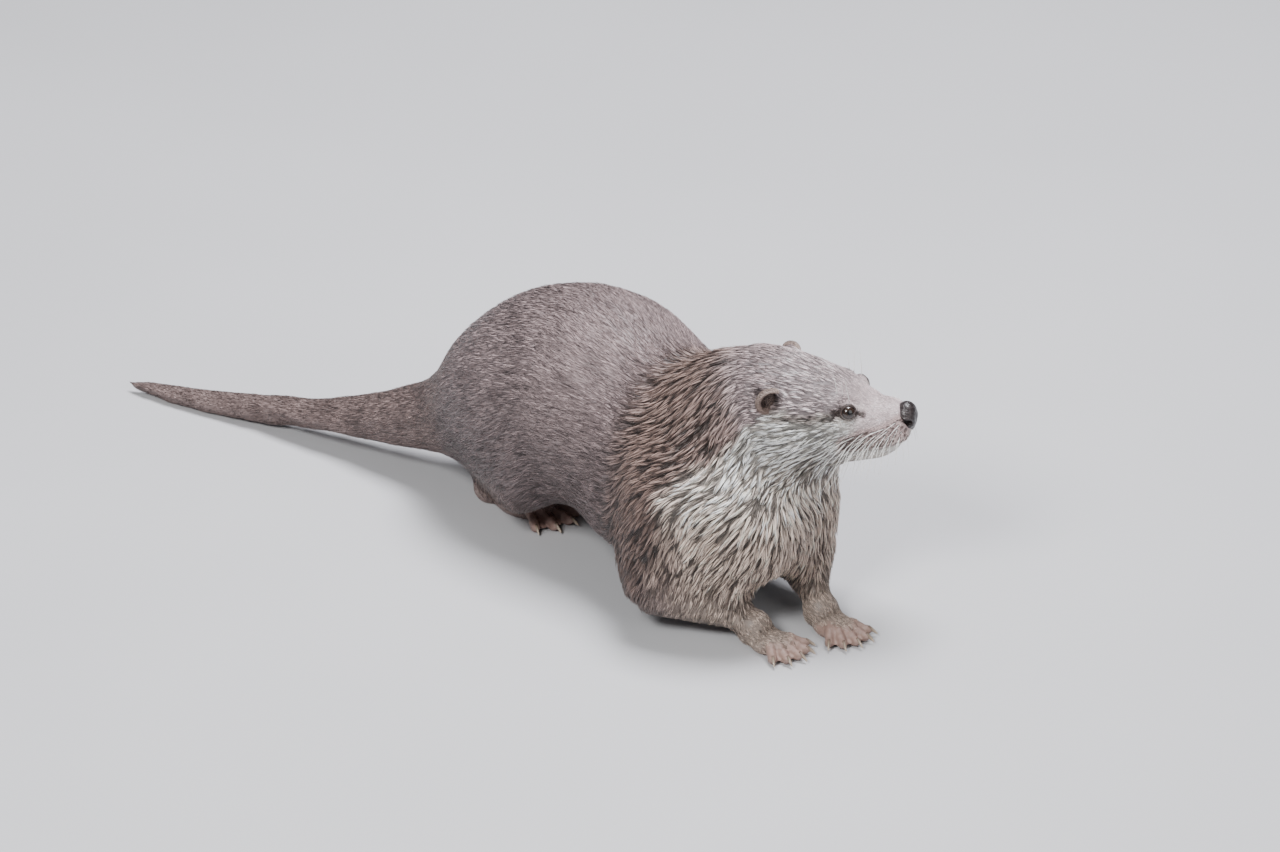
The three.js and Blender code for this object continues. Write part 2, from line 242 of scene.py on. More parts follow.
def claw_tips(leg):
    """The points of the five claws that are furthest from the sole's middle."""
    claws = [places(frame["nodes"][node]) for node in CLAWS[leg]]
    return [points[np.argmax(length_of(points - SOLES[leg]))] for points in claws]


def toes(leg):
    """For each toe its angle on the floor and how far it reaches from the sole's middle, in mm."""
    outs = [(tip - SOLES[leg]) / MM for tip in claw_tips(leg)]
    return [(math.atan2(y, x), math.hypot(x, y) - CLAW_SHOWN * CLAW_LONG) for x, y, _ in outs]


def middle_toe_angle(leg):
    return toes(leg)[2][0]


def oval(leg, angle, out, height, size, pitch=0.0):
    """An oval so many millimetres out from the sole's middle. Its size is given as half sizes."""
    place = SOLES[leg] + np.array([math.cos(angle) * out, math.sin(angle) * out, height]) * MM
    turn = (0, pitch, angle)
    bpy.ops.mesh.primitive_uv_sphere_add(
        segments=16, ring_count=10, radius=MM, location=place, rotation=turn, scale=size
    )
    return bpy.context.active_object


def palm_and_wrist(leg, scale):
    paw, angle = PAWS[leg], middle_toe_angle(leg)
    palm, wrist = np.array(paw["palm"]) * scale, np.array(paw["wrist"]) * scale
    return [
        oval(leg, angle, PALM_OUT, PALM_HEIGHT, palm),
        oval(leg, angle, -paw["back"], WRIST_HEIGHT, wrist),
    ]


def join(pieces, name):
    select_only(pieces[0])
    for piece in pieces:
        piece.select_set(True)
    bpy.ops.object.join()
    joined = bpy.context.view_layer.objects.active
    joined.name = name
    return joined


def copies_of(nodes):
    copies = []
    for node in nodes:
        copy = frame["nodes"][node].copy()
        copy.data = copy.data.copy()
        copy.parent = None
        for key in list(copy.keys()):
            del copy[key]
        copies.append(link(copy))
    return copies


def ear_filling(side):
    """An oval that fills the hollow that the ear is seated in."""
    place = middle(f"ear_{side}") - SIDES[side] * LEFTWARD * EAR_FILL
    bpy.ops.mesh.primitive_uv_sphere_add(segments=24, ring_count=16, radius=1, location=place)
    filling = bpy.context.active_object
    filling.rotation_euler.z = math.atan2(AHEAD[1], AHEAD[0])
    filling.scale = [EAR_REACH, EAR_REACH / 2, EAR_REACH]
    bpy.ops.object.transform_apply(location=True, rotation=True, scale=True)
    return filling


def remeshed(pieces, name, size, swell=0):
    """One closed surface of even squares round all the pieces, swollen by so many metres."""
    joined = join(pieces, name)
    joined.data.materials.clear()
    bpy.ops.object.transform_apply(location=True, rotation=True, scale=True)
    with editing(joined):
        bpy.ops.mesh.remove_doubles(threshold=0.01 * MM)
        bpy.ops.transform.shrink_fatten(value=swell)
    joined.data.remesh_voxel_size = size
    joined.data.remesh_voxel_adaptivity = 0
    bpy.ops.object.voxel_remesh()
    return joined


above_paws = [node for node in FLESH if not node.endswith("paw")]
fillings = [ear_filling(side) for side in SIDES]
for leg in LEGS:
    fillings += palm_and_wrist(leg, LEG_END_SCALE)
skin = remeshed(copies_of(above_paws + SEATED) + fillings, "skin", SKIN_MESH, SWELL)
print("skin:", len(skin.data.polygons), "faces")

# %% [markdown]
# ## Spreading values over the skin
# Many things vary smoothly over a coat: its length, its colour, the way it lies. A table of each
# point's neighbours makes it cheap to even out any such value, the places of the points included.

# %% Neighbours and easing
MOST_NEIGHBOURS = 8


def neighbour_table(mesh):
    """For each point its neighbours, with the point itself in the places left over."""
    edges = read(mesh.edges, "vertices", 2, np.int32)
    start, end = np.concatenate([edges, edges[:, ::-1]]).T
    order = np.argsort(start, kind="stable")
    start, end = start[order], end[order]
    count = len(mesh.vertices)
    rank = np.arange(len(start)) - np.searchsorted(start, np.arange(count))[start]
    table = np.repeat(np.arange(count)[:, None], MOST_NEIGHBOURS, axis=1)
    kept = rank < MOST_NEIGHBOURS
    table[start[kept], rank[kept]] = end[kept]
    return table


def ease(values, table, passes, strength=0.5):
    """Draws each value towards its neighbours' mean, again and again."""
    for _ in range(passes):
        values = values + strength * (values[table].mean(axis=1) - values)
    return values


# %% [markdown]
# ## Parts of the body, as soft weights
# Each skin point takes the name of the nearest solid, and easing turns the hard borders into soft
# ones. The coat's measures are then given once for each kind of part, and blend where parts meet.

# %% Weights of the parts
KIND = {name: name.rsplit("_", 1)[-1] if "leg" in name else name for name in FLESH}
KIND.update({f"hindleg_{side}_upper": "thigh" for side in SIDES})

# How far the skin lies under the coat's tips, a lock's length, its width and the height of its tip,
# in millimetres, and the share of the solids' flat facets that is eased away.
COAT = {
    "head": dict(depth=1.2, length=5.0, width=1.0, lift=0.6, easing=0.22),
    "neck": dict(depth=3.4, length=14.0, width=1.5, lift=2.7, easing=0.8),
    "chest": dict(depth=3.4, length=14.5, width=1.5, lift=2.7, easing=1.0),
    "loin": dict(depth=2.0, length=9.5, width=1.1, lift=0.9, easing=1.0),
    "rump": dict(depth=2.3, length=11.0, width=1.2, lift=1.3, easing=1.0),
    "tail_base": dict(depth=1.9, length=9.0, width=1.0, lift=0.9, easing=1.0),
    "tail_middle": dict(depth=1.5, length=8.0, width=0.9, lift=0.7, easing=1.0),
    "tail_tip": dict(depth=1.0, length=6.0, width=0.8, lift=0.5, easing=0.6),
    "upper": dict(depth=3.0, length=12.0, width=1.4, lift=2.0, easing=0.9),
    "thigh": dict(depth=2.4, length=10.5, width=1.2, lift=1.2, easing=1.0),
    "lower": dict(depth=1.9, length=8.5, width=1.1, lift=1.2, easing=0.4),
    "paw": dict(depth=0.7, length=4.0, width=0.75, lift=0.35, easing=0.12),
}


def solids_tree():
    """The flesh solids as one search tree, with the number of the solid that owns each face."""
    corners, faces, owners = [], [], []
    for number, name in enumerate(FLESH):
        mesh = frame["nodes"][name].data
        first = len(corners)
        corners.extend(v.co.copy() for v in mesh.vertices)
        faces.extend([first + i for i in p.vertices] for p in mesh.polygons)
        owners.extend([number] * len(mesh.polygons))
    return BVHTree.FromPolygons(corners, faces), owners


SOLIDS, SOLID_OWNERS = solids_tree()


def weights_of_parts(piece, table, passes):
    nearest = [SOLID_OWNERS[SOLIDS.find_nearest(point)[2]] for point in places(piece).tolist()]
    return ease(np.eye(len(FLESH), dtype=np.float32)[nearest], table, passes)


def coat_measure(field, weights):
    return weights @ np.array([COAT[KIND[name]][field] for name in FLESH])


def share_of(kinds, weights):
    """How much of each point belongs to parts of these kinds."""
    return weights @ np.isin([KIND[name] for name in FLESH], kinds)


# %% [markdown]
# ## Rounding the skin and sinking it by the coat's depth
# Easing takes the facets away but shrinks what it rounds. Easing the eased shape once more shows
# how much, and adding that difference back returns the lost volume. The skin then sinks by the
# depth of the coat, but not under the soles, which are bare and stand on the floor.

# %% Round and sink
ROUNDING_PASSES, SPREADING_PASSES = 60, 12
SOLE_HEIGHT = 3 * MM


def round_and_sink(piece):
    """Rounds the skin and draws it in under the coat. Gives the mean depth that it sank, in mm."""
    table = neighbour_table(piece.data)
    weights = weights_of_parts(piece, table, SPREADING_PASSES)
    strength = 0.5 * coat_measure("easing", weights)[:, None]
    once = ease(places(piece), table, ROUNDING_PASSES, strength)
    twice = ease(once, table, ROUNDING_PASSES, strength)
    move_to(piece, 2 * once - twice)
    normals = normals_of(piece)
    faces_down = smooth_step(-0.5, -0.95, normals[:, 2])
    furred = 1 - faces_down * (places(piece)[:, 2] < SOLE_HEIGHT)
    sink = SWELL + coat_measure("depth", weights) * MM * furred
    move_to(piece, places(piece) - normals * sink[:, None])
    return sink.mean() / MM


print("mean coat depth, mm:", round_and_sink(skin).round(2))

# %% [markdown]
# ## An even tail
# A tail tapers evenly and bends gently. It is measured slice by slice, smooth curves are laid
# through the middles and the sizes of the slices, and each slice is moved and scaled to fit them.
# Its end is rounded.

# %% Even out the tail
TAIL_SLICE, TAIL_CURVE = 12 * MM, 4  # the length of a slice and the degree of the curves
TAIL_END = 11  # how much of the end is rounded, in mm


def even_tail(points):
    """Moves and scales the tail's slices onto smooth curves through their middles and sizes."""
    start, axis = middle("tail_base"), unit(middle("tail_tip") - middle("tail_base"))
    along = (points - start) @ axis
    across = points - start - np.outer(along, axis)
    tail = (along > 0) & (points[:, 0] < start[0] + 20 * MM)
    number = (along[tail] / TAIL_SLICE).astype(int)
    count = np.bincount(number)
    centres = np.stack([np.bincount(number, across[tail, n]) / count for n in range(3)], 1)
    sizes = np.bincount(number, length_of(across[tail] - centres[number])) / count
    middles = (np.arange(len(count)) + 0.5) * TAIL_SLICE
    whole = middles < along.max() - TAIL_SLICE

    def as_is(values):
        return np.interp(along, middles, values)

    def smoothed(values):
        return np.polyval(np.polyfit(middles[whole], values[whole], TAIL_CURVE), along)

    own = np.stack([as_is(centres[:, n]) for n in range(3)], 1)
    smooth = np.stack([smoothed(centres[:, n]) for n in range(3)], 1)
    size = np.clip(smoothed(sizes) / as_is(sizes), 0.7, 1.4)[:, None]
    fitted = start + np.outer(along, axis) + smooth + (across - own) * size
    end = along.max()
    share = smooth_step(8 * MM, 60 * MM, along) * smooth_step(end - 10 * MM, end - 30 * MM, along)
    return points + (fitted - points) * (share * tail)[:, None]


tail_points = even_tail(places(skin))
tail_end = tail_points[np.argmin(tail_points[:, 0])]
end_share = near(length_of(tail_points - tail_end) / MM, 0, TAIL_END)
move_to(skin, ease(tail_points, neighbour_table(skin.data), 40, 0.8 * end_share[:, None]))

# %% [markdown]
# ## Paws
# The solids give each paw's plan, but toes have joints, pads and webs that a few flat faces can't
# show. So each paw is made again from ovals: a palm, a wrist, for each toe a row of bones from
# the wrist to the claw, and a thin web to the next toe. Remeshing joins them, easing blends them,
# and they are united with the skin at the wrists.

# %% Paws
PAW_MESH = 1.05 * MM
LOWEST = 0.02 * MM


def toe_bones(leg, angle, reach):
    """The bones and pads of a toe: how far out, how high, half sizes and pitch of each."""
    return [
        oval(leg, angle, 0.32 * reach, 8.6, (0.36 * reach, 3.3, 4.0), 0.14),
        oval(leg, angle, 0.55 * reach, 7.6, (5.4, 3.9, 4.1)),
        oval(leg, angle, 0.72 * reach, 6.0, (0.2 * reach, 3.2, 3.5), 0.2),
        oval(leg, angle, reach - 8.0, 5.7, (4.4, 3.7, 3.8)),
        oval(leg, angle, reach - 2.2, 4.7, (4.6, 3.1, 3.2), 0.15),
        oval(leg, angle, reach - 4.2, 2.6, (5.0, 3.4, 2.7)),
    ]


def paw_ovals(leg):
    """Palm, wrist and toes, with a thin web between each toe and the next."""
    fan = toes(leg)
    ovals = palm_and_wrist(leg, 1)
    for angle, reach in fan:
        ovals += toe_bones(leg, angle, reach)
    for (angle, reach), (next_angle, next_reach) in zip(fan, fan[1:]):
        between, out = (angle + next_angle) / 2, 0.3 * (reach + next_reach)
        half_gap = 1.2 + 1.2 * out * abs(next_angle - angle) / 2
        ovals.append(oval(leg, between, out, 3.6, (0.56 * out, half_gap, 1.7), 0.06))
    return ovals


def wrist_place(leg):
    angle, back = middle_toe_angle(leg), PAWS[leg]["back"] * MM
    return SOLES[leg] + [-math.cos(angle) * back, -math.sin(angle) * back, 14 * MM]


def ease_on_floor(piece, passes, strength):
    """Evens out the points of a piece, but moves none of them below the floor."""
    eased = ease(places(piece), neighbour_table(piece.data), passes, strength)
    eased[:, 2] = np.maximum(eased[:, 2], LOWEST)
    move_to(piece, eased)


paws = remeshed([piece for leg in LEGS for piece in paw_ovals(leg)], "paws", PAW_MESH)
ease_on_floor(paws, 5, 0.6)
print("paws:", len(paws.data.polygons), "faces")

select_only(skin)
bpy.ops.object.modifier_add(type="BOOLEAN")
skin.modifiers[-1].operation = "UNION"
skin.modifiers[-1].solver = "MANIFOLD"
skin.modifiers[-1].object = paws
bpy.ops.object.modifier_apply(modifier=skin.modifiers[-1].name)
bpy.data.objects.remove(paws)
wrists = sum(near(length_of(places(skin) - wrist_place(leg)) / MM, 15, 7) for leg in LEGS)
wrists = np.minimum(1, 1.4 * wrists) * smooth_step(4 * MM, 10 * MM, places(skin)[:, 2])
ease_on_floor(skin, 36, 0.7 * wrists[:, None])
print("skin with its paws:", len(skin.data.polygons), "faces")

# %% [markdown]
# ## A finer mesh where the face needs it
# Lids, lips and folds are about a millimetre wide, so the face needs smaller squares than the
# trunk. Only the faces near them are split, which keeps the whole skin light.

# %% Split the faces of the head
def split_faces(chosen):
    """Splits each face whose middle passes the test into four, and rounds off the new points."""
    with editing(skin, "DESELECT"):
        bpy.ops.mesh.select_mode(type="FACE")
    test = chosen(to_head(read(skin.data.polygons, "center", 3).astype(float)))
    skin.data.polygons.foreach_set("select", test)
    with editing(skin, None):
        bpy.ops.mesh.subdivide(number_cuts=1)
    points = places(skin)
    rounded = ease(points, neighbour_table(skin.data), 3)
    points = np.where(chosen(to_head(points))[:, None], rounded, points)
    move_to(skin, points)


def eye_distance(face):
    """The distance to the nearer eye, in millimetres."""
    return np.min([length_of(face - eye) for eye in EYES.values()], axis=0)


MOUTH_FRONT, MOUTH_CORNER = 44.0, -7.0


def mouth_height(ahead):
    """The height of the line between the lips, which falls from under the nose, then turns up."""
    back = 38 - ahead
    return -23.5 - 0.26 * back + 0.0021 * back**2


def on_head(face):
    return (face[:, 0] > -72) & (face[:, 2] > -54) & (np.abs(face[:, 1]) < 50)


def on_lips(face):
    along = (face[:, 0] > MOUTH_CORNER - 4) & (face[:, 0] < MOUTH_FRONT + 4)
    return along & (np.abs(face[:, 2] - mouth_height(face[:, 0])) < 6) & (np.abs(face[:, 1]) < 40)


split_faces(on_head)
split_faces(lambda face: on_lips(face) | (eye_distance(face) < 15))
split_faces(lambda face: eye_distance(face) < 10)
print("skin:", len(skin.data.polygons), "faces")

# %% [markdown]
# ## Lids round the eyes
# A real eyeball sits in its socket, and the lids lie on it like a thin skin with an oval opening.
# So each skin point near an eye moves straight to or from the eye's middle: inside the opening it
# tucks in behind the eyeball, at the rim it stands up as a thin edge, and further out it meets
# the face again at a fold.

# %% Lids
LID_WIDE, LID_HIGH, LID_CORNER = 56.0, 43.0, 15.0  # degrees round the eye's middle
LID_THICK, LID_TUCK = 0.5, 1.3


def face_slope(side):
    """The direction that the face looks in where the eye sits."""
    normals = normals_of(skin) @ HEAD_TURN.T
    distance = length_of(to_head(places(skin)) - EYES[side])
    return unit(unit(normals[distance < 10].mean(axis=0)) + [0, 0.25 * SIDES[side], -0.16])


EYE_GAZE = {side: face_slope(side) for side in SIDES}


def lid_angles(face, side):
    """Each point's offset and distance from the eye, its degrees outside the lids, and its turn.

    The turn round the gaze is in degrees too: 0 ahead, 90 above.
    """
    gaze = EYE_GAZE[side]
    upward = unit(np.array([0, 0, 1]) - gaze * gaze[2])
    forward = unit(np.array([1, 0, 0]) - gaze * gaze[0] - upward * upward[0])
    offset = face - EYES[side]
    reach = length_of(offset)
    off_gaze = np.degrees(np.arccos(np.clip(offset @ gaze / reach, -1, 1)))
    turn = np.degrees(np.arctan2(offset @ upward, offset @ forward))
    oval = 1 / np.hypot(np.cos(np.radians(turn)) / LID_WIDE, np.sin(np.radians(turn)) / LID_HIGH)
    corner = LID_CORNER * near(turn, -14, 15) + 5 * near(np.abs(turn), 180, 16)
    return offset, reach, off_gaze - oval - corner, turn


def shape_lids(face, side):
    offset, reach, outside, turn = lid_angles(face, side)
    rim = smooth_step(-5, 1.5, outside)
    fold = 0.4 * near(outside, 14, 4) * (0.4 + 0.6 * np.sin(np.radians(turn)))
    target = EYE_RADIUS - LID_TUCK + rim * (LID_TUCK + LID_THICK) - fold
    share = 1 - smooth_step(7, 34, outside)
    share *= 1 - smooth_step(EYE_RADIUS + 4, EYE_RADIUS + 9, reach)
    shaped = reach + share * (target - reach)
    covered = smooth_step(0, 2, outside) * (EYE_RADIUS + LID_THICK)
    scale = np.maximum(shaped, covered) / reach
    return EYES[side] + offset * scale[:, None]


face_points = to_head(places(skin))
for side in SIDES:
    face_points = shape_lids(face_points, side)
move_to(skin, from_head(face_points))

# %% [markdown]
# ## Lips, whisker pads, chin and brow
# The upper lip hangs over the lower jaw, so the mouth is a groove with a fuller edge above it and
# a slightly drawn-in jaw below. Each form is a smooth rise or dip along the skin's own normal.

# %% Muzzle forms
WHISKER_ROWS, WHISKERS_IN_ROW = 6, 12


def whisker_roots(side):
    """Rows of whisker roots over the pad, from under the nostril back to the mouth's corner."""
    roots = []
    for row in range(WHISKER_ROWS):
        for number in range(WHISKERS_IN_ROW):
            ahead = 41 - 3.5 * number - 1.7 * (row % 2) - 0.5 * row
            across = min(26, 10.5 + 3.4 * number + 1.7 * (row % 2))
            rise = 3.0 + (3.0 - 0.09 * number) * row
            roots.append([ahead, SIDES[side] * across, mouth_height(ahead) + rise])
    return np.array(roots)


def lip_height(face):
    """The lips' line rises to a point in the middle, between the two whisker pads."""
    rise = 2.4 * near(face[:, 1], 0, 3.5) - 1.2 * near(np.abs(face[:, 1]), 9, 4)
    return mouth_height(face[:, 0]) + rise * smooth_step(26, 36, face[:, 0])


def muzzle_forms(face):
    """How far each point of the face rises or sinks along its normal, in mm."""
    ahead, across, height = face[:, 0], np.abs(face[:, 1]), face[:, 2]
    above_lip = height - lip_height(face)
    along = smooth_step(MOUTH_CORNER - 3, MOUTH_CORNER + 4, ahead) * (height < 0)
    groove = -2.2 * near(above_lip, 0, 1.0) * along
    upper_lip = 1.4 * near(above_lip, 4.5, 4.5) * smooth_step(-2, 14, ahead) * (height < 0)
    pads = 1.3 * near(above_lip, 6, 5) * near(across, 13, 6) * smooth_step(14, 24, ahead)
    pads *= height < 0
    jaw = -1.7 * near(above_lip, -3.5, 3.4) * along
    cleft = -1.1 * near(across, 0, 0.9) * smooth_step(30, 36, ahead) * near(above_lip, 3, 6)
    brow = 0.9 * near(ahead, -1, 9) * near(height, 8.5, 3.2) * near(across, 24, 8)
    stop = -0.8 * near(ahead, 12, 9) * near(height, 1, 5) * near(across, 15, 7)
    bridge = 1.9 * near(ahead, 28, 8) * near(height, -3, 6) * near(across, 0, 12)
    from_eye = eye_distance(face)
    orbit = 1.7 * near(from_eye, 12.5, 5) * smooth_step(7.5, 10.5, from_eye)
    return groove + upper_lip + pads + jaw + cleft + brow + stop + bridge + orbit


face_points = to_head(places(skin))
rise = muzzle_forms(face_points) * on_head(face_points) * MM
move_to(skin, places(skin) + normals_of(skin) * rise[:, None])

# %% [markdown]
# ## Seats for the nose pad and the ears
# The nose pad and the ears are pieces of their own with hollows in them. The skin draws back
# behind them, so that it doesn't fill the nostrils or the ear cups.

# %% Seats
NOSE_SIZE = np.array([8.4, 9.8, 11.4])
NOSE_SEAT_DEPTH, EAR_SEAT_DEPTH = 5.5, 6.0
EAR_SIZE, EAR_TURN = np.array([10.2, 5.0, 10.0]), math.radians(28)


def ear_frame(side):
    """The ear's own directions: ahead, outwards and up."""
    turn = -SIDES[side] * EAR_TURN
    ahead = [math.cos(turn), math.sin(turn), 0]
    outwards = [-math.sin(turn) * SIDES[side], math.cos(turn) * SIDES[side], 0]
    return np.array([ahead, outwards, [0, 0, 1]])


def to_ear(face, side):
    """Places on the face in the ear's own directions, from its middle."""
    return (face - EARS[side]) @ ear_frame(side).T


def in_nose(face):
    """How far out from the nose pad's middle each point is, with one at its surface."""
    return length_of((face - NOSE) / NOSE_SIZE)


face_points = to_head(places(skin))
face_points[:, 0] -= NOSE_SEAT_DEPTH * (1 - smooth_step(0.74, 0.95, in_nose(face_points)))
for side in SIDES:
    own = to_ear(face_points, side)
    across = np.hypot((own[:, 0] - 1.0) / 9.4, (own[:, 2] + 1.0) / 9.2)
    inside = (1 - smooth_step(0.5, 0.82, across)) * (np.abs(own[:, 1]) < 9)
    face_points -= (EAR_SEAT_DEPTH * inside)[:, None] * ear_frame(side)[1]
move_to(skin, from_head(face_points))

# %% [markdown]
# ## Paints
# Every finish is worked out by shader nodes. A small class lets an output of a node be added,
# scaled and compared as a number is, so that each paint reads as a formula. Fur, skin, ears,
# claws and whiskers take their colours from the mesh and add streaks or grain to them. The nose
# and the eyes are formulas alone.

# %% Reckoning with sockets
def linear(red, green, blue):
    """A colour given on the usual scale of 0 to 255, as the share of light that it gives back."""
    share = np.array([red, green, blue]) / 255
    return np.where(share < 0.04, share / 12.92, ((share + 0.055) / 1.055) ** 2.4)


def opaque(red, green, blue):
    return (*linear(red, green, blue), 1)


def write_colours(mesh, colours):
    """Gives each point of a mesh its colour, for its paint to read."""
    layer = mesh.attributes.new("coat_colour", "FLOAT_COLOR", "POINT")
    write(layer.data, "color", np.column_stack([colours, np.ones(len(colours))]))


def sums(operation):
    """The methods for value + other and other + value, or for differences or products."""

    def before(value, other):
        return value.paint.node("ShaderNodeMath", [value, other], operation=operation)

    def after(value, other):
        return value.paint.node("ShaderNodeMath", [other, value], operation=operation)

    return before, after


class Value:
    """One output of a shader node."""

    __add__, __radd__ = sums("ADD")
    __sub__, __rsub__ = sums("SUBTRACT")
    __mul__, __rmul__ = sums("MULTIPLY")

    def __init__(self, paint, socket):
        self.paint, self.socket = paint, socket

    def step(self, low, high):
        """A soft step from 0 to 1 between two values."""
        inputs = {"Value": self, "From Min": low, "From Max": high}
        return self.paint.node("ShaderNodeMapRange", inputs, interpolation_type="SMOOTHSTEP")


class Paint:
    """One material, with its Principled shader and whatever nodes feed it."""

    def __init__(self, name, **constants):
        self.material = bpy.data.materials.new(name)
        self.material.use_nodes = True
        self.tree = self.material.node_tree
        self.shader = self.tree.nodes["Principled BSDF"]
        for field, value in constants.items():
            self.shader.inputs[field.replace("_", " ")].default_value = value

    def node(self, kind, inputs=(), output=0, **settings):
        """Adds a node with its settings. Its inputs are numbers, colours or other nodes' values."""
        node = self.tree.nodes.new(kind)
        for field, value in settings.items():
            setattr(node, field, value)
        for key, value in inputs.items() if isinstance(inputs, dict) else enumerate(inputs):
            self.feed(node.inputs[key], value)
        return Value(self, node.outputs[output])

    def feed(self, socket, value):
        if isinstance(value, Value):
            self.tree.links.new(value.socket, socket)
        else:
            socket.default_value = value

    def noise(self, vector, scale, detail=2.0):
        return self.node("ShaderNodeTexNoise", {"Vector": vector, "Scale": scale, "Detail": detail})

    def mix(self, share, first, second):
        inputs = {0: share, 6: first, 7: second}
        return self.node("ShaderNodeMix", inputs, output=2, data_type="RGBA")

    def scaled(self, colour, factor):
        return self.node("ShaderNodeVectorMath", {0: colour, "Scale": factor}, operation="SCALE")

    def finish(self, colour, roughness, height, depth, strength=1.0):
        """Feeds the shader its colour, roughness and relief, and gives the material."""
        relief = {"Strength": strength, "Distance": depth, "Height": height}
        bump = self.node("ShaderNodeBump", relief)
        for field, value in (("Base Color", colour), ("Roughness", roughness), ("Normal", bump)):
            self.feed(self.shader.inputs[field], value)
        return self.material

    def own_colour(self):
        """The colours written into the mesh."""
        return self.node("ShaderNodeAttribute", output="Color", attribute_name="coat_colour")

    def place(self):
        return self.node("ShaderNodeTexCoord", output="Object")


# %% Paints
STREAKS = (22, 1.6, 1)  # how much finer the streaks are across a lock than along it


def fur_paint(name, roughness, **constants):
    """Hair: fine streaks run along each lock, in its tone, its gloss and its relief."""
    paint = Paint(name, **constants)
    strand = paint.node("ShaderNodeUVMap", uv_map="strand")
    drawn_out = paint.node("ShaderNodeVectorMath", [strand, STREAKS], operation="MULTIPLY")
    streaks = paint.noise(drawn_out, 1.0, 3.0)
    colour = paint.scaled(paint.own_colour(), 0.62 + 0.76 * streaks)
    return paint.finish(colour, roughness + 0.25 * (streaks - 0.5), streaks, 0.12 * MM, 0.7)


def grained_paint(name, roughness, scale, depth, **constants):
    """Skin or horn: the mesh's own colours with a fine grain."""
    paint = Paint(name, **constants)
    place = paint.place()
    coarse, fine = paint.noise(place, scale / 6, 2.0), paint.noise(place, scale, 4.0)
    colour = paint.scaled(paint.own_colour(), 0.6 + 0.4 * coarse + 0.4 * fine)
    return paint.finish(colour, roughness + 0.3 * (coarse - 0.5), fine, depth)


def nose_paint():
    """Pebbled leather: raised pebbles, painted paler on their crests and darker in the grooves
    between, as painted light and shade, over dark blotches.
    """
    paint = Paint("nose_leather", Coat_Weight=0.15, Coat_Roughness=0.15)
    place = paint.place()
    pebbles = {"Vector": place, "Scale": 1150.0}
    cells = paint.node("ShaderNodeTexVoronoi", pebbles, feature="SMOOTH_F1")
    blotches = paint.noise(place, 160.0, 3.0)
    crest = 1 - cells.step(0.15, 0.75)
    # The crests' paler tone is painted light, the grooves' darker tone painted shade.
    share = 0.55 * crest + 0.7 * (blotches - 0.4)
    colour = paint.mix(share, opaque(26, 21, 22), opaque(66, 55, 54))
    return paint.finish(colour, 0.34 + 0.2 * (blotches - 0.5), crest + 0.3 * blotches, 0.22 * MM)


def eye_paint():
    """A round pupil, a dark brown iris, and a darker ring before the white, under a clear film."""
    paint = Paint("eye", Coat_Weight=1.0, Coat_Roughness=0.02, IOR=1.38)
    off_gaze = paint.node("ShaderNodeAttribute", output="Fac", attribute_name="off_gaze")
    flecks = paint.noise(paint.place(), 900.0, 3.0)
    brown = paint.mix(flecks, opaque(24, 17, 14), opaque(58, 40, 29))
    iris = paint.mix(off_gaze.step(0.24, 0.3), opaque(8, 7, 8), brown)
    ring = paint.mix(off_gaze.step(0.62, 0.76), iris, opaque(20, 14, 12))
    colour = paint.mix(off_gaze.step(0.82, 0.98), ring, opaque(84, 70, 64))
    return paint.finish(colour, 0.22 + 0.1 * flecks, flecks, 0.02 * MM, 0.3)


WET = dict(Coat_Weight=0.15, Coat_Roughness=0.28, Specular_IOR_Level=0.35)
DAMP = dict(Coat_Weight=0.05, Coat_Roughness=0.35, Specular_IOR_Level=0.35)
PAINTS = {
    "coat": fur_paint("coat", 0.38, **WET),
    "face_fur": fur_paint("face_fur", 0.46, **DAMP),
    "throat_fur": fur_paint("throat_fur", 0.44, **DAMP),
    "ear_fur": fur_paint("ear_fur", 0.6),
    "paw_skin": grained_paint("paw_skin", 0.5, 1400.0, 0.1 * MM),
    "ear_skin": grained_paint("ear_skin", 0.6, 1500.0, 0.08 * MM),
    "claw": grained_paint("claw", 0.38, 900.0, 0.05 * MM, Coat_Weight=0.2),
    "whisker": grained_paint("whisker", 0.4, 600.0, 0.01 * MM),
    "nose_leather": nose_paint(),
    "eye": eye_paint(),
}


def seat(piece, slot_name, paint_name=None):
    """Gives a piece its finish and its place in the frame. Most paints have their slot's name."""
    piece.data.materials.append(PAINTS[paint_name or slot_name])
    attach(piece, "root")
    return piece


# %% [markdown]
# ## Eyes
# An otter's small eye is nearly all dark iris. The white hardly shows, and the clear front bulges
# a little. The ball is a fine sphere in the solid's place, with the front drawn out, and the lids
# cover its edge.

# %% Eyeballs
IRIS_REACH = math.radians(44)
BULGE = 0.35


def new_piece(name, slot_name, paint_name=None):
    """Names the object just made and seats it."""
    piece = bpy.context.active_object
    piece.name = name
    piece.data.name = name
    bpy.ops.object.transform_apply(location=True, rotation=True, scale=True)
    bpy.ops.object.shade_smooth()
    return seat(piece, slot_name, paint_name)


for side in SIDES:
    bpy.ops.mesh.primitive_uv_sphere_add(segments=48, ring_count=32, radius=EYE_RADIUS * MM)
    ball = bpy.context.active_object
    axis = Vector(EYE_GAZE[side] @ HEAD_TURN)
    ball.rotation_euler = axis.to_track_quat("Z", "Y").to_euler()
    ball.location = EYE_PLACES[side]
    ball = new_piece(f"eyeball_{side}", "eye")
    offset = places(ball) - EYE_PLACES[side]
    off_gaze = np.arccos(np.clip(unit(offset) @ np.array(axis), -1, 1))
    front = 1 - smooth_step(0.4 * IRIS_REACH, 1.2 * IRIS_REACH, off_gaze)
    scale = 1 + BULGE / EYE_RADIUS * front
    move_to(ball, EYE_PLACES[side] + offset * scale[:, None])
    write(ball.data.attributes.new("off_gaze", "FLOAT", "POINT").data, "value", off_gaze)
    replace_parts(ball, f"eye_{side}")

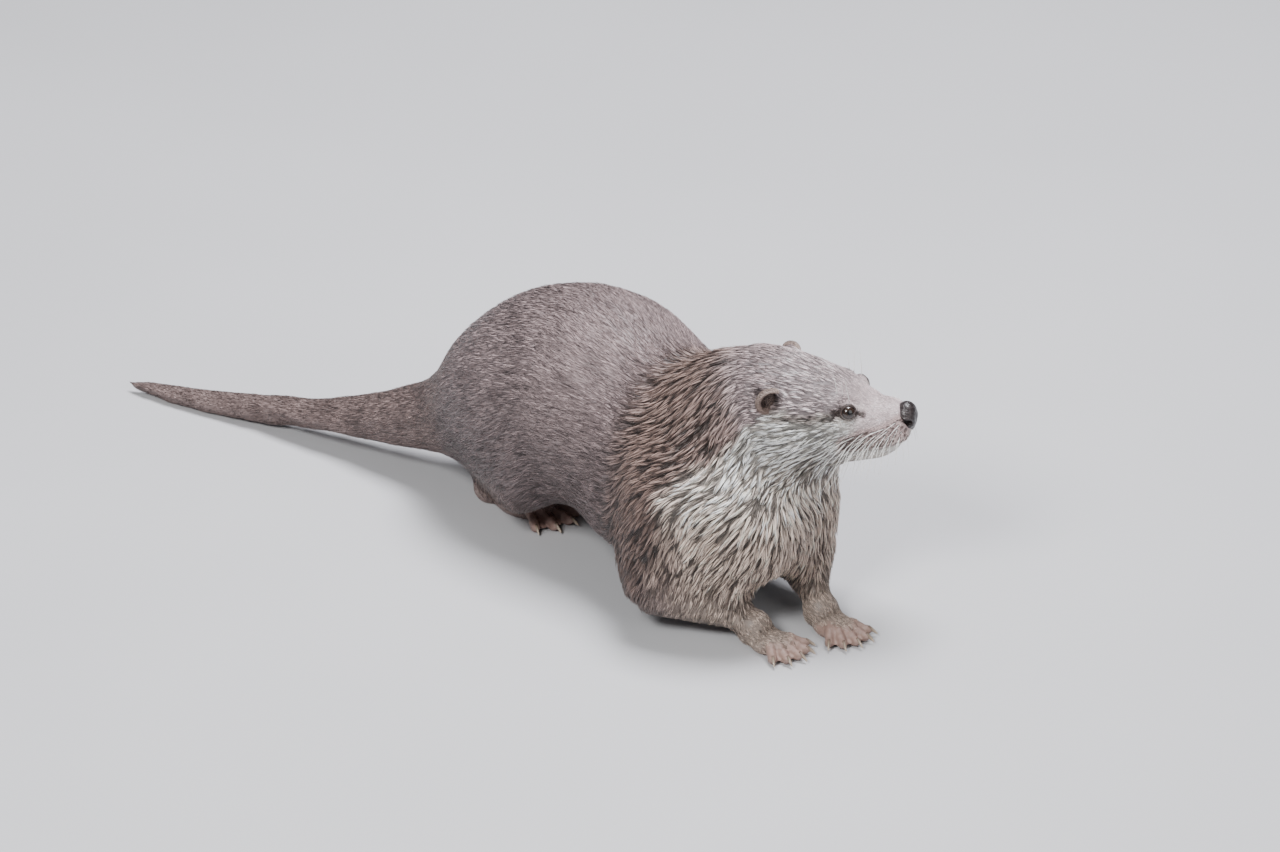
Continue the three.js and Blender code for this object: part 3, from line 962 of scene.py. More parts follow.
# %% [markdown]
# ## Nose pad
# The bare nose of an otter is a dark, pebbled pad, broad at the top and narrow towards the lip,
# with a comma-shaped nostril opening to each side and a groove down its middle. It starts as a
# fine oval, and the openings are pressed into it.

# %% Nose pad
NOSTRIL_AHEAD, NOSTRIL_HEIGHT, NOSTRIL_LONG, NOSTRIL_HIGH, NOSTRIL_DEPTH = 2.6, -0.8, 3.1, 2.5, 4.2
NOSE_RAISED = [0, 0, 0.2]


def nose_forms(pad):
    """An oval becomes a pad: narrow below, with nostrils, the slits behind them, and a groove."""
    ahead, across, height = pad.T
    sideways = np.abs(across)
    narrow = 1 - 0.34 * smooth_step(1, -9, height) - 0.06 * smooth_step(5, 9, height)
    from_nostril = (ahead - NOSTRIL_AHEAD) / NOSTRIL_LONG, (height - NOSTRIL_HEIGHT) / NOSTRIL_HIGH
    hollow = np.hypot(*from_nostril)
    slope = (height - 1.9) - 0.45 * (NOSTRIL_AHEAD - 3.2 - ahead)
    slit = np.hypot((ahead + 1.6) / 3.6, slope / 0.95)
    outer = smooth_step(3.2, 5.2, sideways)
    opening, slit_share = 1 - smooth_step(0.55, 1.15, hollow), 1 - smooth_step(0.4, 1.2, slit)
    pit = np.maximum(opening, 0.55 * slit_share) * outer
    wing = 0.55 * near(hollow, 1.5, 0.35) * outer
    groove = 0.9 * near(sideways, 0, 0.75) * smooth_step(0, 5, ahead) * smooth_step(6, 1, height)
    ones = np.ones_like(ahead)
    inward = unit(np.stack([0.35 * ones, np.sign(across), 0.1 * ones], 1))
    moved = pad * np.stack([1 - 0.10 * smooth_step(4, 9, ahead), narrow, ones], 1)
    moved += unit(pad) * (wing - groove)[:, None]
    return moved - inward * (pit * NOSTRIL_DEPTH)[:, None]


bpy.ops.mesh.primitive_uv_sphere_add(segments=128, ring_count=96, radius=1)
bpy.ops.transform.resize(value=NOSE_SIZE)
nose = new_piece("nose", "nose_leather")
move_to(nose, from_head(NOSE + NOSE_RAISED + nose_forms(places(nose))))
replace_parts(nose, "nose_pad")

# %% [markdown]
# ## Ears
# The ears are small round cups low on the head, thick at the rim and open to the side and front,
# with a fold running into the hollow. Each is an oval, flattened, with the hollow pressed in.

# %% Ears
EAR_SUNK, EAR_LOWERED = 0.8, [0, 0, -1.2]


def hollow_share(cup):
    """One in the hollow of the cup, nothing on its rim and back."""
    ahead, out, height = cup.T
    radius = np.hypot((ahead - 0.6) / 10, (height - 0.2) / 9.6)
    return smooth_step(-0.5, 1.0, out) * (1 - smooth_step(0.52, 0.84, radius))


def from_middle(cup):
    """How far each point is from the cup's middle, seen from its side, with one at its outline."""
    return np.hypot(cup[:, 0] / EAR_SIZE[0], cup[:, 2] / EAR_SIZE[2])


def ear_colours(cup):
    """Dark in the hollow, brown behind, with a pale rim."""
    radius = from_middle(cup)[:, None]
    back, inside, rim = linear(120, 102, 94), linear(38, 29, 27), linear(158, 141, 132)
    colours = back + (rim - back) * smooth_step(0.7, 0.95, radius) * smooth_step(-6, 8, cup[:, 2:3])
    return colours + (inside - colours) * hollow_share(cup)[:, None]


def ear_forms(cup):
    """An oval in the ear's own directions becomes a cup with a rolled rim."""
    ahead, out, height = cup.T
    radius = from_middle(cup)
    hollow = hollow_share(cup)
    fold = 1.6 * near(ahead + 0.35 * height, -2.5, 1.3) * near(height, -1.5, 4) * hollow
    notch = 1.4 * near(ahead, 7.5, 2.5) * near(height, -4.5, 3.5)
    rim = 0.5 * near(radius, 0.93, 0.08) * smooth_step(-1, 2, out)
    moved = cup.copy()
    moved[:, 1] += -7.0 * hollow + fold + rim - notch
    moved[:, 1] -= 0.045 * np.clip(ahead, 0, None) ** 2 * smooth_step(0, 1, radius)
    return moved


ears = {}
for side in SIDES:
    bpy.ops.mesh.primitive_uv_sphere_add(segments=96, ring_count=64, radius=1)
    bpy.ops.transform.resize(value=EAR_SIZE)
    ear = new_piece(f"ear_cup_{side}", "ear_fur", "ear_skin")
    write_colours(ear.data, ear_colours(places(ear)))
    if side == "right":  # its directions are a mirror image, which turns the faces inside out
        with editing(ear):
            bpy.ops.mesh.flip_normals()
    shaped = EARS[side] + ear_forms(places(ear)) @ ear_frame(side)
    move_to(ear, from_head(shaped - ear_frame(side)[1] * EAR_SUNK + EAR_LOWERED))
    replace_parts(ear, f"ear_{side}")
    ears[side] = ear

# %% [markdown]
# ## Claws
# Each toe ends in a short curved claw, flattened from side to side. One is modelled from a rod,
# drawn to a point and bent, and a copy with its own mesh goes to each toe, where the solid claw's
# tip and its direction from the sole say how it lies.

# %% Claws
CLAW_THICK, CLAW_DROOP = 1.9, math.radians(20)
CLAW_CURVE, CLAW_FLAT = 1.5, 0.72
CLAW_CUTS = 8
CLAW_TIP, CLAW_ROOT = linear(186, 170, 150), linear(92, 72, 60)


def claw_forms(rod):
    """A rod along X, its tip at the origin, comes to a point that bends down, and is flattened."""
    back = -rod[:, 0] / CLAW_LONG
    curve = CLAW_CURVE * (1 - back) ** 2
    full = np.sqrt(np.clip(back, 0, 1))
    height = rod[:, 2] * full - curve + CLAW_CURVE * 0.25
    return np.stack([rod[:, 0], rod[:, 1] * full * CLAW_FLAT, height], 1)


bpy.ops.mesh.primitive_cylinder_add(
    vertices=14, radius=CLAW_THICK, depth=CLAW_LONG, end_fill_type="TRIFAN"
)
bpy.ops.transform.rotate(value=math.pi / 2, orient_axis="Y", center_override=(0, 0, 0))
claw = bpy.context.active_object
bpy.ops.object.transform_apply(location=True, rotation=True, scale=True)
with editing(claw):
    for cut in range(1, CLAW_CUTS):
        bpy.ops.mesh.select_all(action="SELECT")
        place = CLAW_LONG * (cut / CLAW_CUTS - 0.5)
        bpy.ops.mesh.bisect(plane_co=(place, 0, 0), plane_no=(1, 0, 0))
move_to(claw, claw_forms(places(claw) - [CLAW_LONG / 2, 0, 0]))
claw_shape = places(claw)
along_claw = np.clip(-claw_shape[:, :1] / CLAW_LONG, 0, 1)
write_colours(claw.data, CLAW_TIP + (CLAW_ROOT - CLAW_TIP) * along_claw)

for leg in LEGS:
    copies = []
    for tip in claw_tips(leg):
        out = tip - SOLES[leg]
        turn = np.array(Euler((0, CLAW_DROOP, math.atan2(out[1], out[0]))).to_matrix())
        copy = claw.copy()
        copy.data = claw.data.copy()
        move_to(link(copy), tip + claw_shape @ turn.T * MM)
        copies.append(copy)
    join(copies, f"claws_{leg}")
    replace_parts(new_piece(f"claws_{leg}", "claw"), *CLAWS[leg])
bpy.data.objects.remove(claw)

# %% [markdown]
# ## The lie of the coat
# Fur lies in one direction at each place: back from the nose over the head, along the spine and
# over the hump of the back to the tail, and down the legs to the toes. Each part of the body
# gives one direction, the parts' soft weights blend them, and easing leaves no sharp turns. The
# head's directions fan out from the nose instead. Last, each direction is laid flat on the skin.

# %% Lie of the coat
SPINE = ["head", "neck", "chest", "loin", "rump", "tail_base", "tail_middle", "tail_tip"]
HANG = {"neck": 0.35, "chest": 0.5, "loin": 0.12, "rump": 0.22, "upper": 0.6, "thigh": 0.45}
FRONT_LEG_LIE = [-0.35, -0.1, -1.0]
LIE_SPREAD, LIE_PASSES, BLEND_PASSES = 14, 24, 70


def lie_of(name):
    """The direction in which the coat of one part lies."""
    kind, leg = KIND[name], name.rsplit("_", 1)[0]
    hang = np.array([0, 0, -HANG.get(kind, 0)])
    if name in SPINE:
        place = SPINE.index(name)
        before, after = SPINE[max(place - 1, 0)], SPINE[min(place + 1, len(SPINE) - 1)]
        return unit(unit(middle(after) - middle(before)) + hang)
    if kind == "paw":
        angle = middle_toe_angle(leg)
        return np.array([math.cos(angle), math.sin(angle), -0.25])
    if kind == "thigh":
        return unit(unit(middle("tail_base") - middle("loin")) + hang)
    return unit(FRONT_LEG_LIE if leg.startswith("fore") else SOLES[leg] - middle(f"{leg}_upper"))


def flat_on(directions, normals):
    return unit(directions - normals * (directions * normals).sum(axis=-1, keepdims=True))


skin_table = neighbour_table(skin.data)
weights = weights_of_parts(skin, skin_table, LIE_SPREAD)
normals = normals_of(skin).astype(float)
face_points = to_head(places(skin))
fan = unit(face_points - [NOSE[0] + 6, 0, NOSE[2] + 2]) + [-0.5, 0, 0]
fan += np.outer(smooth_step(2, -16, face_points[:, 2]), [0, 0, -0.35])
lie = weights @ np.array([lie_of(name) for name in FLESH])
head_share = weights[:, FLESH.index("head")].copy()
lie += head_share[:, None] * (unit(fan @ HEAD_TURN) - lie_of("head"))
lie = flat_on(ease(flat_on(lie, normals), skin_table, LIE_PASSES), normals)
weights = ease(weights, skin_table, BLEND_PASSES, 0.5 * (1 - head_share)[:, None])

# %% [markdown]
# ## Where the skin is bare
# No lock grows in the opening of the lids, on the nose pad, between the lips, inside the ears, on
# the soles, or on the toes and their webs.

# %% Bare places
EDGE_OF_FUR, EDGE_UNEVEN = 4, 1.2
BARE_EAR = 6.2


def toe_share(points):
    """One on the toes and their webs, nothing behind the knuckles, with an uneven edge."""
    share = np.zeros(len(points))
    for leg in LEGS:
        away = np.min([length_of(points - tip) for tip in claw_tips(leg)], axis=0) / MM
        away += RNG.normal(0, EDGE_UNEVEN, len(away))
        bare_to = PAWS[leg]["bare"]
        share += smooth_step(bare_to + EDGE_OF_FUR, bare_to - EDGE_OF_FUR, away)
    return np.clip(share, 0, 1)


def bare_share(points):
    """One where no fur grows: lids, ears' hollows, nose, lips and soles."""
    face, bare = to_head(points), np.zeros(len(points))
    for side in SIDES:
        _, reach, outside, _ = lid_angles(face, side)
        bare += (1 - smooth_step(0.5, 4.5, outside)) * (reach < EYE_RADIUS + 3.5)
        own = to_ear(face, side)
        bare += (np.hypot(own[:, 0] - 1.0, own[:, 2] + 1.0) < BARE_EAR) * (np.abs(own[:, 1]) < 10)
    bare += in_nose(face) < 0.99
    lips = (face[:, 0] > MOUTH_CORNER) & (face[:, 2] < 0) & (np.abs(face[:, 1]) < 40)
    bare += lips * near(face[:, 2] - lip_height(face), -0.2, 1.0)
    bare += smooth_step(2.0, 0.8, points[:, 2] / MM)
    return np.clip(bare, 0, 1)


bare = bare_share(places(skin))
on_toes = toe_share(places(skin))
skin.data.calc_loop_triangles()
print("triangles of the skin:", len(skin.data.loop_triangles))

# %% [markdown]
# ## Markings
# The coat is brown above and pale on the cheeks, throat and chest, with a pinkish-grey muzzle, a
# dark line of fur from eye to ear and dark spots at the whiskers' roots. One function gives the
# colour of any place, so that the skin and the locks that grow from it carry the same markings.

# %% Markings
# The pale mauve-grey of the back and the crown is partly the coat's own colour and partly a painted
# reflection of the sky on wet fur.
HUES = {
    "back": linear(152, 134, 133),
    "shoulder": linear(124, 104, 96),
    "crown": linear(198, 181, 181),
    "tail": linear(136, 117, 113),
    "leg": linear(150, 131, 126),
    "toes": linear(146, 118, 108),
    "muzzle": linear(212, 194, 194),
    "pad": linear(190, 166, 162),
    "pale": linear(240, 235, 226),
    "throat": linear(222, 211, 200),
    "breast": linear(170, 153, 141),
    "dark": linear(58, 45, 40),
}
PART_HUES = {
    "head": "crown", "neck": "shoulder", "chest": "shoulder", "loin": "back", "rump": "back",
    "tail_base": "tail", "tail_middle": "tail", "tail_tip": "tail",
    "upper": "shoulder", "thigh": "back", "lower": "leg", "paw": "leg",
}
BORDER_HEIGHT, BORDER_TURNS, BORDER_SLOPE = -2.0, -50.0, 0.72
PALE_FROM = 0.236
SHAGGY_PARTS = ["neck", "chest", "upper"]
SHADED_BELOW = SHAGGY_PARTS + ["loin", "rump", "thigh"]
WAVES = 7


def waves(points, size):
    """Smooth random ups and downs between about -1 and 1, so many metres across."""
    dice = np.random.default_rng(11)
    total = np.zeros(len(points))
    for _ in range(WAVES):
        direction = unit(dice.normal(size=3)) * dice.uniform(0.6, 1.7) * 3 / size
        total += np.sin(points @ direction + dice.uniform(0, 6))
    return total / 3.2


def paleness(points):
    """One where the coat is pale: below a line back from the mouth, then down the neck."""
    face = to_head(points)
    border = BORDER_HEIGHT + BORDER_SLOPE * np.minimum(0, face[:, 0] - BORDER_TURNS)
    below = smooth_step(7, -6, face[:, 2] - border + 3 * waves(points, 9 * MM))
    ahead = (points[:, 0] - PALE_FROM) / MM + 6 * waves(points, 12 * MM)
    return below * smooth_step(-26, 12, ahead)


def tree_of(spots):
    """A search tree of points."""
    tree = KDTree(len(spots))
    for number, spot in enumerate(spots):
        tree.insert(spot, number)
    tree.balance()
    return tree


skin_faces = [list(face.vertices) for face in skin.data.polygons]
skin_tree = BVHTree.FromPolygons(places(skin).tolist(), skin_faces)
roots = [root for side in SIDES for root in from_head(whisker_roots(side)).tolist()]
WHISKER_TREE = tree_of([skin_tree.find_nearest(root)[0] for root in roots])


def from_whisker(points):
    """The distance to the nearest root of a whisker, in millimetres."""
    return np.array([WHISKER_TREE.find(point)[2] / MM for point in points.tolist()])


def whisker_spots(points):
    """One at the roots of the whiskers, which show as rows of dark spots on the pads."""
    return smooth_step(1.35, 0.8, from_whisker(points))


def towards(colours, hue, share):
    return colours + (HUES[hue] - colours) * share[:, None]


def brown_and_pale(points, weights):
    """The large fields of colour, each laid over those before it."""
    ahead, height = to_head(points)[:, [0, 2]].T
    head, up, pale = weights[:, FLESH.index("head")], points[:, 2], paleness(points)
    behind_ears = near(head, 0.5, 0.5) * smooth_step(-120, -62, ahead)
    behind_ears *= smooth_step(-40, -10, height)
    colours = weights @ np.array([HUES[PART_HUES[KIND[name]]] for name in FLESH])
    for hue, share in [
        ("crown", 0.4 * behind_ears),
        ("back", 0.65 * head * smooth_step(-38, -60, ahead)),
        ("breast", pale),
        ("throat", pale * smooth_step(0.085, 0.135, up)),
        ("pale", pale * smooth_step(0.125, 0.15, up) * smooth_step(-95, -55, ahead)),
        ("muzzle", head * smooth_step(-6, 14, ahead) * smooth_step(-22, -12, height)),
        ("pad", 0.8 * smooth_step(5.5, 2.5, from_whisker(points))),
    ]:
        colours = towards(colours, hue, share)
    return colours, head, pale


def markings(points, weights):
    """The colour of the coat at each point: fields, then the dark lines of the face, then shade."""
    face = to_head(points)
    ahead, height = face[:, 0], face[:, 2]
    colours, head, pale = brown_and_pale(points, weights)
    streak = near(height, -1.5 - 0.02 * ahead, 2.9)
    streak *= smooth_step(-46, -40, ahead) * smooth_step(-3, -9, ahead)
    colours = towards(colours, "dark", 0.85 * head * streak)
    for side in SIDES:
        colours = towards(colours, "dark", 0.75 * smooth_step(9, 6.5, length_of(face - EARS[side])))
    for side in SIDES:
        _, reach, outside, turn = lid_angles(face, side)
        front_corner = near(turn, -12, 14) * near(outside, 18, 12)
        back_corner = near(np.abs(turn), 174, 16) * near(outside, 20, 16)
        rim = (1 - smooth_step(7, 19, outside)) + 0.85 * (front_corner + back_corner)
        colours = towards(colours, "dark", np.clip(rim, 0, 0.96) * (reach < EYE_RADIUS + 7))
        lower = near(outside, 3.2, 1.6) * smooth_step(-0.25, -0.6, np.sin(np.radians(turn)))
        colours = towards(colours, "pale", 0.3 * lower * (reach < EYE_RADIUS + 3))
    lips = head * near(height - lip_height(face), -0.3, 1.4)
    lips *= smooth_step(MOUTH_CORNER - 2, MOUTH_CORNER + 3, ahead)
    colours = towards(colours, "dark", 0.75 * lips * (height < 0))
    shaded = share_of(SHADED_BELOW, weights) * (1 - pale)
    colours = colours * (1 - 0.5 * shaded * smooth_step(0.13, 0.05, points[:, 2]))[:, None]
    return colours * (1 + 0.10 * waves(points, 16 * MM) + 0.05 * waves(points, 5 * MM))[:, None]


def shagginess(ahead):
    """How much the coat hangs in long wet points: most on throat, neck, shoulders and chest."""
    shaggy = np.maximum(share_of(SHAGGY_PARTS, weights), paleness(places(skin)))
    shaggy *= 1 - head_share * smooth_step(-10, 14, ahead)
    shaggy = np.maximum(shaggy, 0.8 * head_share * smooth_step(10, -16, ahead))
    return shaggy * (1 - 0.7 * share_of(["lower", "paw"], weights))


coat_colours = markings(places(skin), weights)
under_fur = np.maximum(bare * (face_points[:, 0] < 60), on_toes)
shaggy = shagginess(face_points[:, 0])
fur_shadow = 0.3 + 0.55 * shaggy  # how much darker the skin shows between the locks
skin_colours = coat_colours * (1 - fur_shadow * (1 - under_fur))[:, None]
skin_colours = towards(skin_colours, "toes", 0.85 * on_toes)
skin_colours = towards(skin_colours, "dark", 0.95 * whisker_spots(places(skin)))
write_colours(skin.data, skin_colours)

# %% [markdown]
# ## Beds for the coat
# A bed is a surface that locks grow on. It knows its triangles, the lie of the coat and an
# unwrap of its own shape. It sows random roots, so many to an area, and traces each lock's middle
# line by short steps, each drawn back to the surface, so that locks hug every curve.

# %% Beds
class Bed:
    """A surface with all that its locks need.

    Blender numbers the faces of a sphere differently each run. Sorting its triangles makes the
    random places on it the same each time.
    """

    def __init__(self, piece, lie, sort=False):
        mesh = piece.data
        mesh.calc_loop_triangles()
        self.points, normals = places(piece), normals_of(piece).astype(float)
        self.corners = read(mesh.loop_triangles, "vertices", 3, np.int32)
        order = np.lexsort(self.corners.T) if sort else np.arange(len(self.corners))
        self.corners = self.corners[order]
        loops = read(mesh.loop_triangles, "loops", 3, np.int32)[order]
        self.unwrapped = read(mesh.uv_layers.active.uv, "vector", 2)[loops]
        self.face_normals = unit(normals[self.corners].mean(axis=1))
        self.face_lie = unit(lie[self.corners].mean(axis=1))
        self.tree = BVHTree.FromPolygons(self.points.tolist(), self.corners.tolist())

    def sow(self, to_area):
        """Random roots, so many to a square metre: their triangles and shares of the corners."""
        first, second, third = (self.points[self.corners[:, n]] for n in range(3))
        areas = length_of(np.cross(second - first, third - first)) / 2
        running = np.floor(np.cumsum(areas * to_area[self.corners].mean(axis=1)) + RNG.random())
        faces = np.repeat(np.arange(len(areas)), np.diff(running, prepend=0).astype(int))
        return faces, RNG.dirichlet([1, 1, 1], len(faces))

    def mixed(self, values, faces, shares):
        """The corners' values, mixed for places inside the triangles."""
        return np.einsum("nc,nc...->n...", shares, values[self.corners[faces]])

    def trace(self, starts, faces, lengths, steps, turn, curl):
        """Middle lines of locks, with the surface's normal at each of their places.

        Each lock turns its own way from the lie of the coat, and curls on as it goes.
        """
        lie, normal = self.face_lie[faces], self.face_normals[faces]
        lie = flat_on(lie + turn[:, None] * np.cross(normal, lie), normal)
        lines, normals = [starts], [normal]
        for _ in range(steps):
            ahead = lines[-1] + lie * (lengths / steps)[:, None]
            found = [self.tree.find_nearest(place) for place in ahead.tolist()]
            lines.append(np.array([hit[0] for hit in found]))
            faces = np.array([hit[2] for hit in found])
            normal = self.face_normals[faces]
            curled = curl[:, None] * np.cross(normal, lie)
            lie = flat_on(0.5 * lie + 0.5 * self.face_lie[faces] + curled, normal)
            normals.append(normal)
        return np.stack(lines, 1), np.stack(normals, 1)


# %% [markdown]
# ## Locks
# A wet coat hangs together in pointed locks. Each lock here is a thin closed wedge with three
# sides, wide near its root and drawn out to a point, and it rises a little from the skin towards
# its tip. Tips lean towards those of a nearby guide lock, so that locks gather in clumps with
# dark gaps between, partly real shadow and partly painted shade: the locks at a clump's edges are
# painted darker and those at its middle lighter. Each lock is also painted darker at its root and
# lighter at its tip, as painted shade and painted light. Every side of a lock fills part of a
# small patch of the map OFBake, at the root's place on the skin's unwrap.

# %% Locks
PATCH = 0.003  # the size of a lock's place on the map
ROOT_DEPTH, RIDGE = 0.35 * MM, 0.24
ABOVE_FLOOR = 0.1 * MM
LOCKS_TO_A_CLUMP, CLUMP_REACH, ALONG_CLUMP = 9, 3.8, 0.55
OWN_TURN, OWN_CURL = 0.16, 0.09
MOST_TRIANGLES = 190_000
BRIGHTEST = 0.95


def lock_pattern(steps):
    """The corners, the faces' first corners and the map places of a lock of so many steps."""
    corners, starts, spots, along = [], [], [], []
    tip = 3 * steps

    def add(numbers, places_on_patch):
        starts.append(len(corners))
        corners.extend(numbers)
        spots.extend(places_on_patch)

    heights = 0.1 + 0.9 * np.arange(steps) / steps
    for side in range(3):
        other = (side + 1) % 3
        left, right = side / 3, (side + 1) / 3
        for ring, (low, high) in enumerate(zip(heights, heights[1:])):
            low_left, low_right = 3 * ring + side, 3 * ring + other
            add([low_left, low_right, low_right + 3, low_left + 3],
                [(left, low), (right, low), (right, high), (left, high)])
        add([tip - 3 + side, tip - 3 + other, tip],
            [(left, heights[-1]), (right, heights[-1]), ((left + right) / 2, 1)])
    add([2, 1, 0], [(0.9, 0), (0.5, 0.09), (0.1, 0)])
    return np.array(corners), np.array(starts), np.array(spots)


def lock_points(lines, normals, widths, lifts):
    """The corners of each lock: three at each place along its line but the last, and the tip."""
    count, places_along = lines.shape[:2]
    steps = places_along - 1
    share = np.linspace(0, 1, places_along)
    heights = np.outer(lifts, share**0.85) - ROOT_DEPTH * (1 - share)
    centres = lines + normals * heights[:, :, None]
    headings = unit(np.gradient(lines, axis=1))
    across = unit(np.cross(normals, headings))
    taper = (1 - share) ** 0.7 * np.minimum(1, 0.6 + 1.6 * share)
    half = np.outer(widths / 2, taper)[:, :, None]
    left, right = centres + across * half, centres - across * half
    ridge = centres + normals * half * 2 * RIDGE
    rings = np.stack([left, ridge, right], 2)[:, :steps].reshape(count, 3 * steps, 3)
    points = np.concatenate([rings, centres[:, -1:]], 1)
    points[..., 2] = np.maximum(points[..., 2], ABOVE_FLOOR)
    return points


def mesh_of_locks(name, points, colours, roots, steps):
    """One mesh of many locks, with its colours and its maps."""
    corners, starts, spots = lock_pattern(steps)
    count, per_lock = points.shape[:2]
    mesh = bpy.data.meshes.new(name)
    mesh.vertices.add(count * per_lock)
    mesh.loops.add(count * len(corners))
    mesh.polygons.add(count * len(starts))
    numbers = np.arange(count)[:, None]
    write(mesh.vertices, "co", points)
    write(mesh.loops, "vertex_index", corners + numbers * per_lock, np.int32)
    write(mesh.polygons, "loop_start", starts + numbers * len(corners), np.int32)
    mesh.update(calc_edges=True)
    write_colours(mesh, colours.reshape(-1, 3))
    own = np.repeat(RNG.uniform(0, 50, (count, 2)), len(spots), axis=0)
    write(mesh.uv_layers.new(name="OFBake").uv, "vector", roots[:, None, :] + PATCH * (spots - 0.5))
    write(mesh.uv_layers.new(name="strand").uv, "vector", np.tile(spots, (count, 1)) + own)
    mesh.shade_smooth()
    return mesh


def gather(lines, pull, reach):
    """Leans locks towards the nearest guide lock within reach, so that they share a point.

    It gives the lines, the number of each lock's clump and how far each is from its clump's middle.
    """
    guides = RNG.permutation(len(lines))[: max(1, len(lines) // LOCKS_TO_A_CLUMP)]
    tree = tree_of(lines[guides, 0].tolist())
    found = [tree.find(place) for place in lines[:, 0].tolist()]
    clump, distance = np.array([hit[1] for hit in found]), np.array([hit[2] for hit in found])
    lean = lines[guides[clump]] - lines
    ahead = unit(lines[:, -1:] - lines[:, :1])
    sideways = lean - ahead * (lean * ahead).sum(axis=2, keepdims=True)
    pull = pull * smooth_step(1.3, 0.8, distance / reach)
    share = np.linspace(0, 1, lines.shape[1])
    off_middle = length_of(sideways[:, 0])
    lean = sideways + ALONG_CLUMP * (lean - sideways)
    lines = lines + lean * (pull[:, None] * share)[:, :, None]
    return lines, clump, np.clip(off_middle / (2.6 * np.median(off_middle)), 0, 1)


def grow(bed, measures, to_area, steps, name, slot_name):
    """Grows locks on a bed, in pieces under the limit of triangles. Gives how many triangles."""
    faces, shares = bed.sow(to_area)
    starts = bed.mixed(bed.points, faces, shares)
    order = np.argsort(starts @ [1, 0.2, 0.3])
    faces, shares, starts = faces[order], shares[order], starts[order]
    of = {field: bed.mixed(values, faces, shares) for field, values in measures.items()}
    count = len(faces)
    # Some locks are painted dark, as thin lines of painted shade between the wet strands.
    shade_dash = RNG.random(count) < of["shade_dashes"]  # longer, dark locks
    lengths = of["length"] * RNG.uniform(0.7, 1.25, count) * np.where(shade_dash, 1.25, 1)
    widths = of["width"] * RNG.uniform(0.65, 1.3, count)
    lifts = of["lift"] * RNG.uniform(0.35, 1.15, count)
    turn, curl = RNG.normal(0, OWN_TURN, count), RNG.normal(0, OWN_CURL, count)
    lines, normals = bed.trace(starts, faces, lengths, steps, turn, curl)
    clumped = of["gather"]
    lines, clump, off_middle = gather(lines, clumped, CLUMP_REACH * of["width"])
    of_clump = 1 + clumped * (RNG.uniform(0.55, 1.35, count)[clump] - 1)
    lifts *= of_clump * (1.2 - 0.75 * clumped * off_middle)
    points = lock_points(lines, normals, widths, lifts)
    # Painted shade in the gaps between clumps: edge locks darker, middle locks lighter as painted
    # light.
    gap_shade = np.minimum(1, 1.1 * clumped) * smooth_step(0.3, 0.72, off_middle)
    shade = RNG.normal(1, 0.12, count) * np.where(shade_dash, 0.4, 1)
    shade *= 1 + 0.4 * clumped - 1.1 * gap_shade
    shade = np.clip(shade * (1 + clumped * RNG.normal(0, 0.2, count)[clump]), 0.1, 1.8)
    spots = np.maximum(whisker_spots(starts), whisker_spots(lines[:, 1]))
    of["colour"] = towards(of["colour"], "dark", 0.92 * spots)
    share = np.append(np.repeat(np.linspace(0, 1, steps + 1)[:-1], 3), 1.0)
    # Each lock is painted darker at its root, as painted shade under the locks over it, and lighter
    # at its tip, as painted light.
    tone = of["root"][:, None] + (of["tip"] - of["root"])[:, None] * share**0.8
    tone *= shade[:, None]
    colours = np.minimum(of["colour"][:, None] * tone[:, :, None], BRIGHTEST)
    roots = np.einsum("nc,ncd->nd", shares, bed.unwrapped[faces])
    triangles = 6 * (steps - 1) + 4
    parts = math.ceil(count * triangles / MOST_TRIANGLES)
    for number, some in enumerate(np.array_split(np.arange(count), parts), 1):
        mesh = mesh_of_locks(f"{name}_{number}", points[some], colours[some], roots[some], steps)
        seat(link(bpy.data.objects.new(mesh.name, mesh)), slot_name)
    print(f"{name}: {count} locks, {count * triangles} triangles in {parts} pieces")
    return count * triangles


# %% [markdown]
# ## Growing the coat
# The skin is unwrapped once, so that every root has a place on a map of the skin's own shape. The
# measures of the locks come from the table of parts, and are made finer on the face: tiny on the
# muzzle and round the eyes, longer over the cheeks and the back of the head. Locks are sown so
# thickly that they overlap. Under them lies a layer of wider, flatter locks of one step, so that
# no bare skin shows between.

# %% Unwrap the skin
with editing(skin):
    bpy.ops.uv.smart_project(angle_limit=math.radians(66), island_margin=0.002)

# %% Measures of the locks
FOOTPRINT = 0.5  # a lock's area as a share of its length by its width
UNDER_WIDTH, UNDER_LENGTH, UNDER_LIFT, UNDER_GATHER = 1.8, 0.9, 0.4, 0.3

# How many times over the locks cover the skin. The nape and the cheeks add to the face's.
OVERLAP = dict(face=2.2, nape=1.6, cheek=0.8, throat=4.6, mane=4.2, back=1.4, legs=2.0, under=2.3)


def lock_measures():
    """For each point sizes in metres, then shares, the tones of root and tip, and the colour."""
    points = places(skin)
    face, pale = to_head(points), paleness(points)
    grown = smooth_step(14, -30, face[:, 0])
    cheek = pale * smooth_step(4, -18, face[:, 0])
    off_eye = 0.8 + 0.2 * smooth_step(EYE_RADIUS + 3, EYE_RADIUS + 12, eye_distance(face))
    of = {field: coat_measure(field, weights) for field in ("length", "width", "lift")}
    facial = {
        "length": (2.5 + 6.0 * grown + 3.0 * cheek) * off_eye,
        "width": 0.48 + 0.42 * grown + 0.35 * cheek,
        "lift": (0.35 + 0.5 * grown + 0.8 * cheek) * off_eye,
    }
    near_head = ease(head_share, skin_table, 120)
    for field, values in facial.items():
        of[field] = (of[field] + near_head * (values - of[field])) * MM
    return dict(
        of,
        gather=0.42 + 0.5 * shaggy,
        # the share of locks painted dark as lines of painted shade
        shade_dashes=0.08 + 0.05 * (1 - pale) + 0.06 * shaggy,
        # the root's tone is painted shade, the tip's tone painted light
        root=0.64 - 0.36 * shaggy + 0.2 * pale,
        tip=1.24 + 0.42 * shaggy + 0.2 * pale,
        colour=coat_colours,
    )


